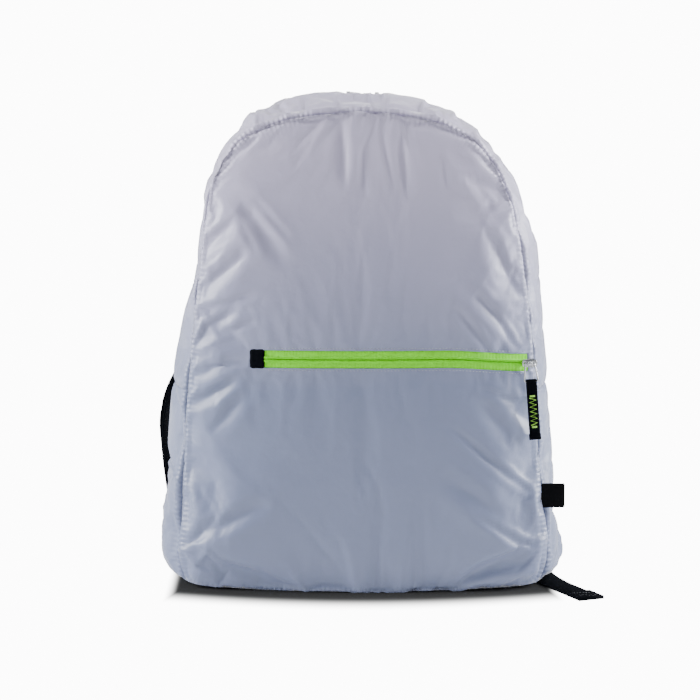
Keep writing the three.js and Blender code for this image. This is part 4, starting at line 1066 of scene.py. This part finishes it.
def loop_part():
    """The wire loop between the slider's eye and the puller, with rounded corners."""
    corners = np.array([
        (-LOOP_TOP, 0), (LOOP_TOP, 0), (LOOP_BOTTOM, LOOP_LENGTH), (-LOOP_BOTTOM, LOOP_LENGTH)])
    path = []
    for k in range(4):
        before, at, after = corners[k - 1], corners[k], corners[(k + 1) % 4]
        one = at + unit(before - at) * 2.2 * MM
        two = at + unit(after - at) * 2.2 * MM
        for t in np.linspace(0, 1, 7):
            path.append((1 - t) ** 2 * one + 2 * t * (1 - t) * at + t ** 2 * two)
    path = np.array(path)
    return tube(np.stack([path[:, 0], 0 * path[:, 0], path[:, 1]], 1), WIRE_RADIUS, 10, True)


def puller_tip():
    """The pressed end of a puller."""
    wide = PULLER_WIDTH / 2 + 0.45 * MM
    section = ((-1, -0.5), (-0.9, -1), (0.9, -1), (1, -0.5), (1, 0.5), (0.9, 1), (-0.9, 1), (-1, 0.5))
    levels = ((-5.5, 0.6), (-5.2, 1.25), (-1.2, 1.35), (-0.3, 1.1), (0.1, 0.5))
    return loft([[(a * wide, b * thick * MM, LOOP_LENGTH + PULLER_LENGTH + z * MM) for a, b in section]
                 for z, thick in levels])


def puller_threads(surface):
    """A zigzag with three bars past each end, on both faces of a puller."""
    zigs = 13
    top, bottom = LOOP_LENGTH + 14.5 * MM, LOOP_LENGTH + 39 * MM
    z = np.linspace(top, bottom, zigs)
    x = np.where(np.arange(zigs) % 2 == 0, -1, 1) * 2.9 * MM
    threads = []
    for face in (1, -1):
        threads.append(tube(np.stack([x, np.full(zigs, face * surface), z], 1), 0.42 * MM, 6))
        for level in (top - 1.6 * MM, bottom + 1.6 * MM):
            for shift in (-0.5, 0, 0.5):
                bar = [(w * MM, face * surface, level + shift * MM) for w in (-2.2, 0, 2.2)]
                threads.append(tube(bar, 0.32 * MM, 6))
    return threads


def puller_parts():
    """A woven tape folded over the loop's lower bar, in the pull's frame, and the threads sewn into it."""
    gap = PULLER_LAYER / 2 + 0.02 * MM
    turn = WIRE_RADIUS + 0.35 * MM + PULLER_LAYER / 2
    side = [(gap, z) for z in np.linspace(PULLER_LENGTH - 0.6 * MM, 5 * MM, 24)]
    side += [(turn * math.cos(a), -turn * math.sin(a)) for a in np.linspace(-0.25, math.pi + 0.25, 14)]
    side += [(-gap, z) for z in np.linspace(5 * MM, PULLER_LENGTH - 0.6 * MM, 24)]
    points = np.array([(0, y, z + LOOP_LENGTH) for y, z in side])
    tape = band(points, X_AXIS, tape_profile(PULLER_WIDTH, PULLER_LAYER, 0.3 * MM, 0.5))
    threads = puller_threads(gap + PULLER_LAYER / 2 + 0.12 * MM)
    return joined([tape, puller_tip()]), joined(threads)[:2]


def make_pulls():
    tab, threads = puller_parts()
    slider = joined(slider_parts())[:2]
    loop = loop_part()
    for name, (body, hinge, along, hang, droop) in PULLS.items():
        hinge, along, hang = (np.array(v, float) for v in (hinge, along, hang))
        hang = unit(hang)
        if name == "pocket_zip":
            away = np.array([0, -1.0, 0])
            slider_axes = X_AXIS, away, np.array([0, 0, -1.0])
        else:
            away = np.array([0, -hang[2], hang[1]])
            nose = math.cos(droop) * hang + math.sin(droop) * away
            slider_axes = along, np.array([0, -nose[2], nose[1]]), nose
        pull_axes = along, away, hang
        for suffix, built, axes, material, slot, replaced, rides in (
                ("slider_cast", slider, slider_axes, metal, "slider_metal", [f"{name}_slider"], "bag"),
                ("wire_loop", loop, pull_axes, metal, "slider_metal", [f"{name}_pull_loop"], body),
                ("puller_tape", tab, pull_axes, black_tab, "black_tab", [f"{name}_puller"], body),
                ("puller_threads", threads, pull_axes, thread_green, "black_tab", (), body)):
            placed = (local_to_world(built[0], hinge, *axes), *built[1:])
            add(f"{name}_{suffix}", placed, material, replaced, rides)


# Straps, webbing, buckles, anchors, haul loop and label

def route_point(sign, row):
    z = max(row[2] * PANEL_HEIGHT, WEBBING_THICKNESS / 2 + FLOOR_CLEARANCE)
    return np.array([sign * row[0] * HALF_WIDTH, float(back_seam_y(0, z)) + row[1] * BAG_DEPTH, z])


def rest_on_back(x, z, width, height, thickness):
    places = [float(back_y(x + a * width, z + b * height)) for a in (-0.5, 0, 0.5) for b in (-0.5, 0, 0.5)]
    return max(places) + PIECE_GAP + BACK_SEAT + thickness / 2


def buckle_frame(name):
    """Where a ladder lock starts, with unit vectors down it, across it and away from the back."""
    strap = STRAPS[name]
    end = route_point(strap["sign"], strap["pad"][-1])
    down = unit(end - route_point(strap["sign"], strap["pad"][-2]))
    across = unit(X_AXIS - down * down[0])
    away = np.cross(across, down)
    if away[1] < 0:
        away = -away
    return end + down * PIECE_GAP, down, across, away


def strap_stitches(points, thick):
    """Rows along both edges and two rows across the top, on both faces of a padded strap."""
    wide, normal = swept_frame(points, X_AXIS)
    half, deep = STRAP_WIDTH / 2, STRAP_THICKNESS / 2
    rows = []
    for edge in (-0.87, 0.87):
        for face in (-1, 1):
            path = points + wide * edge * half + normal * face * deep * 0.36 * thick[:, None]
            rows += stitch_row(path, normal * face, STRAP_STITCH)
    spread = np.linspace(-0.8, 0.8, 24)[:, None] * half
    for share in (0.02, 0.05):
        k = int(share * (len(points) - 1))
        for face in (-1, 1):
            lift = deep * 0.9 * thick[k] + 0.1 * MM
            path = points[k] + wide[k] * spread + normal[k] * face * lift
            rows += stitch_row(path, normal[k] * face, STRAP_STITCH)
    return rows


def make_strap(name):
    sign = STRAPS[name]["sign"]
    x = sign * STRAP_TOP_OUT
    top_y = rest_on_back(x, STRAP_TOP_HEIGHT, STRAP_WIDTH, STRAP_THICKNESS * 2, STRAP_THICKNESS * 0.55)
    points = [np.array([x, top_y, STRAP_TOP_HEIGHT]), *(route_point(sign, row) for row in STRAPS[name]["pad"])]
    points = evenly(through(points, 30, False), 64)
    share = np.linspace(0, 1, len(points))
    thick = 0.4 + 0.6 * np.sqrt(np.minimum(1, np.minimum(share * 8, (1 - share) * 8)))
    offsets, crowned = np.array(STRAP_SECTION).T
    heights = STRAP_THICKNESS / 2 * crowned[None] * thick[:, None]
    profile = np.zeros((len(points), 2 * len(offsets), 2))
    profile[..., 0] = np.concatenate([offsets, offsets[::-1]]) * STRAP_WIDTH / 2
    profile[:, :len(offsets), 1] = -heights
    profile[:, len(offsets):, 1] = heights[:, ::-1]
    pad = add(f"strap_{name}_padded", band(points, X_AXIS, profile), strap_cloth,
              [f"shoulder_strap_{name}"])
    add(f"strap_{name}_stitches", joined(strap_stitches(points, thick)), thread_black)


def anchor_point(name):
    sign = STRAPS[name]["sign"]
    x = sign * (HALF_WIDTH - ANCHOR_REACH * 0.55)
    z = ANCHOR_REACH * 0.9
    y = rest_on_back(x, z, ANCHOR_REACH, ANCHOR_REACH, ANCHOR_THICKNESS)
    return np.array([x, y + ANCHOR_THICKNESS / 2 + PIECE_GAP + WEBBING_THICKNESS / 2, z])


def webbing_route(name):
    """The webbing's middle line, through its ladder lock to the tail's end, and the way its width lies."""
    strap = STRAPS[name]
    sign = strap["sign"]
    origin, down, across, away = buckle_frame(name)
    layer = BUCKLE_THICKNESS / 2 + WEBBING_THICKNESS / 2 + 0.4 * MM
    slot = (BUCKLE_LENGTH - 3 * BUCKLE_BAR) / 2
    turn_at = BUCKLE_BAR + slot / 2
    anchor = anchor_point(name)
    lower = strap["lower"][::-1]
    half_through = [
        (BUCKLE_LENGTH + 7 * MM, layer + 0.8 * MM), (BUCKLE_LENGTH, layer), (BUCKLE_LENGTH / 2, layer),
        (turn_at + 2.6 * MM, layer * 0.9)]
    buckled = [(along, -out) for along, out in half_through] + [(turn_at, 0)] + half_through[::-1]
    points = [anchor, anchor + [0, WEBBING_THICKNESS * 0.4, ANCHOR_REACH * 0.22],
              anchor + [sign * MM, WEBBING_THICKNESS * 1.6, ANCHOR_REACH * 0.6],
              *[route_point(sign, row) for row in lower],
              *[origin + down * along + away * out for along, out in buckled],
              *[route_point(sign, row) for row in strap["tail"]]]

    def turned(degrees):
        return np.array([math.cos(math.radians(degrees)), math.sin(math.radians(degrees)), 0])

    facing = ([turned(0)] * 3 + [turned(row[3]) for row in lower] + [across] * len(buckled)
              + [turned(row[3]) for row in strap["tail"]])
    steps = 8
    path = through(points, steps, False)
    path[:, 2] = np.maximum(path[:, 2], WEBBING_THICKNESS / 2 + FLOOR_CLEARANCE)
    reached = np.arange(len(path)) / steps
    widths = [np.interp(reached, np.arange(len(facing)), np.array(facing)[:, k]) for k in range(3)]
    return path, unit(np.stack(widths, 1))


def make_webbing(name):
    path, widths = webbing_route(name)
    lengths = lengths_along(path)
    folded = lengths > lengths[-1] - TAIL_FOLD
    tail, wide = path[folded], widths[folded]
    _, lift = swept_frame(tail, wide)
    if lift[0, 2] < 0 and name == "right":
        lift = -lift
    hem = tail + lift * WEBBING_THICKNESS * 0.92
    parts = [band(path, widths, tape_profile(WEBBING_WIDTH, WEBBING_THICKNESS * 0.94)),
             band(hem, wide, tape_profile(WEBBING_WIDTH, WEBBING_THICKNESS * 0.86))]
    add(f"webbing_{name}_woven", joined(parts), webbing, [f"webbing_{name}"])
    top = hem + lift * WEBBING_THICKNESS * 0.45
    rows = []
    for side in (-1, 1):
        rows += stitch_row(top[2:-2] + wide[2:-2] * side * 9 * MM, lift[2:-2], TAIL_STITCH)
    for k in (2, -3):
        line = top[k] + wide[k] * np.linspace(-9, 9, 10)[:, None] * MM
        rows += stitch_row(line, lift[k], TAIL_STITCH)
    add(f"webbing_{name}_stitches", joined(rows), thread_black)


def rounded_bar(low, high, radius):
    """A box between two corners with chamfered edges along its longest side."""
    low, high = np.minimum(low, high), np.maximum(low, high)
    axis = int(np.argmax(high - low))
    one, two = [k for k in range(3) if k != axis]
    outline = []
    for a, b in ((0, 0), (1, 0), (1, 1), (0, 1)):
        corner = np.array([high[one] if a else low[one], high[two] if b else low[two]])
        first = corner + [-radius if a else radius, 0]
        second = corner + [0, -radius if b else radius]
        outline += [second, first] if a == b else [first, second]
    rings = np.zeros((2, len(outline), 3))
    rings[..., [one, two]] = outline
    rings[0, :, axis], rings[1, :, axis] = low[axis], high[axis]
    return loft(rings)


def make_buckle(name):
    origin, down, across, away = buckle_frame(name)
    half, deep = BUCKLE_WIDTH / 2, BUCKLE_THICKNESS / 2
    slot_half = WEBBING_WIDTH / 2 + 1.2 * MM
    slot = (BUCKLE_LENGTH - 3 * BUCKLE_BAR) / 2
    reach = half - 2.4 * MM
    parts = []
    for side in (-1, 1):
        parts.append(rounded_bar(
            (side * slot_half, 1 * MM, -deep), (side * half, BUCKLE_LENGTH - 1 * MM, deep), 1 * MM))
    for start in (0, BUCKLE_BAR + slot, 2 * (BUCKLE_BAR + slot)):
        parts.append(rounded_bar(
            (-reach, start, -deep * 0.92), (reach, start + BUCKLE_BAR, deep * 0.92), 0.9 * MM))
    points, faces, _ = joined(parts)
    points = points[:, :1] * across + points[:, 1:2] * down + points[:, 2:] * away + origin
    obj = add(f"buckle_{name}_moulded", (points, faces), plastic, [f"strap_buckle_{name}"])
    for polygon in obj.data.polygons:
        polygon.use_smooth = False


def make_anchor(name):
    sign = STRAPS[name]["sign"]
    x, y, z = anchor_point(name) - [0, WEBBING_THICKNESS / 2 + PIECE_GAP, 0]
    reach, half = ANCHOR_REACH, WEBBING_WIDTH * 0.54
    corners = np.array([(-sign * reach * 0.75, -reach * 0.62), (sign * reach * 0.3, -reach * 0.62),
                        (sign * reach * 0.56, -reach * 0.3), (sign * half, reach * 0.3),
                        (-sign * half, reach * 0.3)])
    outline = np.vstack([np.linspace(corners[k], corners[(k + 1) % 5], 8, endpoint=False) for k in range(5)])
    middle = outline.mean(0)

    def ring(shrink, depth):
        inner = middle + (outline - middle) * shrink
        return np.stack([x + inner[:, 0], np.full(len(inner), y + depth * MM), z + inner[:, 1]], 1)

    rings = [ring(*row) for row in ((1, -2.0), (1, -0.7), (0.97, -0.15), (0.9, 0), (0.5, -0.05))]
    add(f"anchor_{name}_cloth", loft(rings), nylon, [f"strap_anchor_{name}"])
    path = ring(0.84, 0.02)
    rows = stitch_row(np.vstack([path, path[:1]]), [0, 1.0, 0], ANCHOR_STITCH)
    add(f"anchor_{name}_stitches", joined(rows), thread_grey)


def make_haul_loop():
    points = []
    for out, rise in ((-1, -0.35), (-1, 0), (-0.9, 0.6), (-0.5, 0.95), (0, 1.05), (0.5, 0.95), (0.9, 0.6),
                      (1, 0), (1, -0.35)):
        x, z = out * HAUL_SPAN / 2, HAUL_FOOT + rise * HAUL_RISE
        points.append([x, rest_on_back(x, z, HAUL_THICKNESS, HAUL_THICKNESS, HAUL_WIDTH), z])
    path = evenly(through(points, 20, False), 60)
    loop = band(path, np.array([0, 1.0, 0]), tape_profile(HAUL_WIDTH, HAUL_THICKNESS))
    add("haul_loop_woven", loop, grey_tape, ["haul_loop"])


def make_label():
    seam_x = side_x(np.array([LABEL_LEVEL]), LOWER_RIGHT, UPPER_RIGHT)[0]
    seam_y = float(front_seam_y(seam_x, LABEL_LEVEL))
    uu, vv = np.meshgrid(np.linspace(-0.04, 1, 25), np.linspace(-0.5, 0.5, 21))
    round_off = 0.9 * MM * (np.clip((np.abs(vv) - 0.42) / 0.08, 0, 1)) ** 3
    x = seam_x + PIECE_GAP + uu * (LABEL_REACH - round_off)
    z = LABEL_LEVEL + vv * LABEL_HEIGHT
    y = seam_y - LABEL_THICKNESS - PIECE_GAP + 0.6 * MM * np.sin(uu * 2.6) * (0.6 + vv)
    edge = np.minimum((1 - uu) * LABEL_REACH, (0.5 - np.abs(vv)) * LABEL_HEIGHT)
    y = y + 0.35 * MM * (1 - np.sqrt(np.clip(edge / (1.0 * MM), 0, 1)))
    grid = np.stack([x, y, z], -1)
    label = wall_object("side_label_woven", grid, LABEL_THICKNESS, {"along": x, "across": z})
    dress(label, label_cloth, ["side_label"])


# Camera, floor and lights

CAMERA_DISTANCE = 2.6
CAMERA_HEIGHT = 0.585
VIEW_CENTRE = Vector((-0.0115, -0.075, 0.213))
VIEW_WIDTH = 0.6195
SENSOR_WIDTH = 36
BACKDROP = 12.0
WORLD_LIGHT = 0.2
WORLD_SIDES = 1.3
WORLD_COLOUR = (0.94, 0.97, 1)

# The bag's footprint and the shadow painted round it on the floor, in metres from the origin: how far the
# front edge bows, its front, half its width and its back, then where the painted shadow starts to fade and
# where it has gone
FOOT_BOW = 1.067
FOOT_FRONT = 0.102
FOOT_HALF_WIDTH = 0.158
FOOT_BACK = 0.07
SHADOW_CORE = 0.012
SHADOW_REACH = 0.075
SHADOW_NARROWING = 4.0
PAINTED_SHADOW_COLOUR = (0.03, 0.03, 0.03)
FLOOR_COLOUR = (0.85, 0.85, 0.85)


def put(name, data, location, target):
    """A camera or light at a location, turned to its target."""
    obj = bpy.data.objects.new(name, data)
    bpy.context.collection.objects.link(obj)
    obj.location = location
    obj.rotation_euler = (Vector(target) - Vector(location)).to_track_quat("-Z", "Y").to_euler()
    return obj


def add_camera():
    data = bpy.data.cameras.new("camera")
    location = VIEW_CENTRE + Vector((0, -CAMERA_DISTANCE, CAMERA_HEIGHT - VIEW_CENTRE.z))
    data.sensor_fit = "HORIZONTAL"
    data.sensor_width = SENSOR_WIDTH
    data.lens = SENSOR_WIDTH * (VIEW_CENTRE - location).length / VIEW_WIDTH
    data.clip_end = 50
    bpy.context.scene.camera = put("camera", data, location, VIEW_CENTRE)


def add_area(name, location, target, size, power):
    data = bpy.data.lights.new(name, "AREA")
    data.shape = "RECTANGLE"
    data.size, data.size_y = size
    data.energy = power
    put(name, data, location, target)


def blend_shaders(tree, factor, plain, bright, output):
    """Sends the plain shader out where the factor is 0, and the bright one where it is 1."""
    mix = node(tree, "ShaderNodeMixShader")
    for socket, source in zip(mix.inputs, (factor, plain.outputs[0], bright.outputs[0])):
        tree.links.new(source, socket)
    tree.links.new(mix.outputs[0], output.inputs["Surface"])


def floor_material():
    """White paper: bright to the camera, except for a painted shadow close round the bag's base, placed by the
    footprint's shape and seen only by the camera.
    """
    material = principled("floor_white", (0.3, 0.3, 0.3), 0.8, specular=0.0)
    tree = material.node_tree
    at = place(tree)
    bowed = math_node(tree, "MULTIPLY", math_node(tree, "POWER", at["X"], 2), FOOT_BOW)
    ahead = math_node(tree, "SUBTRACT", bowed, math_node(tree, "ADD", at["Y"], FOOT_FRONT))
    aside = math_node(tree, "SUBTRACT", math_node(tree, "ABSOLUTE", at["X"]), FOOT_HALF_WIDTH)
    aside = math_node(tree, "MULTIPLY", aside, SHADOW_NARROWING)
    behind = math_node(tree, "SUBTRACT", at["Y"], FOOT_BACK)
    distance = math_node(tree, "MAXIMUM", math_node(tree, "MAXIMUM", ahead, aside), behind)
    ramp = node(tree, "ShaderNodeMapRange", interpolation_type="SMOOTHSTEP")
    ramp.inputs["From Min"].default_value = SHADOW_CORE
    ramp.inputs["From Max"].default_value = SHADOW_REACH
    tree.links.new(distance, ramp.inputs["Value"])
    # Painted shadow: close round the footprint the floor turns dark to the camera and its glow is turned off
    # there
    clear = math_node(tree, "POWER", ramp.outputs["Result"], 3)
    seen = node(tree, "ShaderNodeLightPath").outputs["Is Camera Ray"]
    dark = math_node(tree, "MULTIPLY", seen, math_node(tree, "SUBTRACT", 1, clear))
    tint_by(tree, math_node(tree, "SUBTRACT", 1, dark), PAINTED_SHADOW_COLOUR, FLOOR_COLOUR)
    bright = node(tree, "ShaderNodeEmission")
    bright.inputs["Strength"].default_value = BACKDROP
    factor = math_node(tree, "MULTIPLY", clear, seen)
    blend_shaders(tree, factor, tree.nodes["Principled BSDF"], bright, tree.nodes["Material Output"])
    return material


def add_world():
    """Brighter from both sides than from the front, and white where the camera sees it directly."""
    world = bpy.data.worlds.new("studio")
    bpy.context.scene.world = world
    world.use_nodes = True
    tree = world.node_tree
    plain = tree.nodes["Background"]
    plain.inputs["Color"].default_value = (*WORLD_COLOUR, 1)
    sides = math_node(tree, "POWER", place(tree, "Generated")["X"], 2)
    strength = math_node(tree, "MULTIPLY_ADD", sides, WORLD_SIDES, WORLD_LIGHT)
    tree.links.new(strength, plain.inputs["Strength"])
    bright = node(tree, "ShaderNodeBackground")
    bright.inputs["Color"].default_value = (1, 1, 1, 1)
    bright.inputs["Strength"].default_value = BACKDROP
    seen = node(tree, "ShaderNodeLightPath").outputs["Is Camera Ray"]
    blend_shaders(tree, seen, plain, bright, tree.nodes["World Output"])


def add_studio():
    bpy.ops.mesh.primitive_plane_add(size=14, location=(0, 0, 0))
    floor = bpy.context.object
    floor.name = "floor"
    floor.data.materials.append(floor_material())
    add_world()
    add_area("overhead", (0, -0.3, 2.2), (0, 0, 0.2), (1.2, 1.0), 12)
    add_area("key_left", (-2.0, -0.15, 1.0), (0, 0, 0.22), (0.8, 1.4), 100)
    add_area("rim_right", (1.9, 0.2, 0.9), (0, 0, 0.22), (0.8, 1.4), 110)
    add_area("low_front", (0, -2.0, 0.25), (0, 0, 0.1), (1.6, 0.4), 3)


add_camera()
add_studio()
make_skin()
make_pocket_zip()
make_main_zip()
make_pulls()
for side_name in ("right", "left"):
    make_strap(side_name)
    make_buckle(side_name)
    make_webbing(side_name)
    make_anchor(side_name)
make_haul_loop()
make_label()
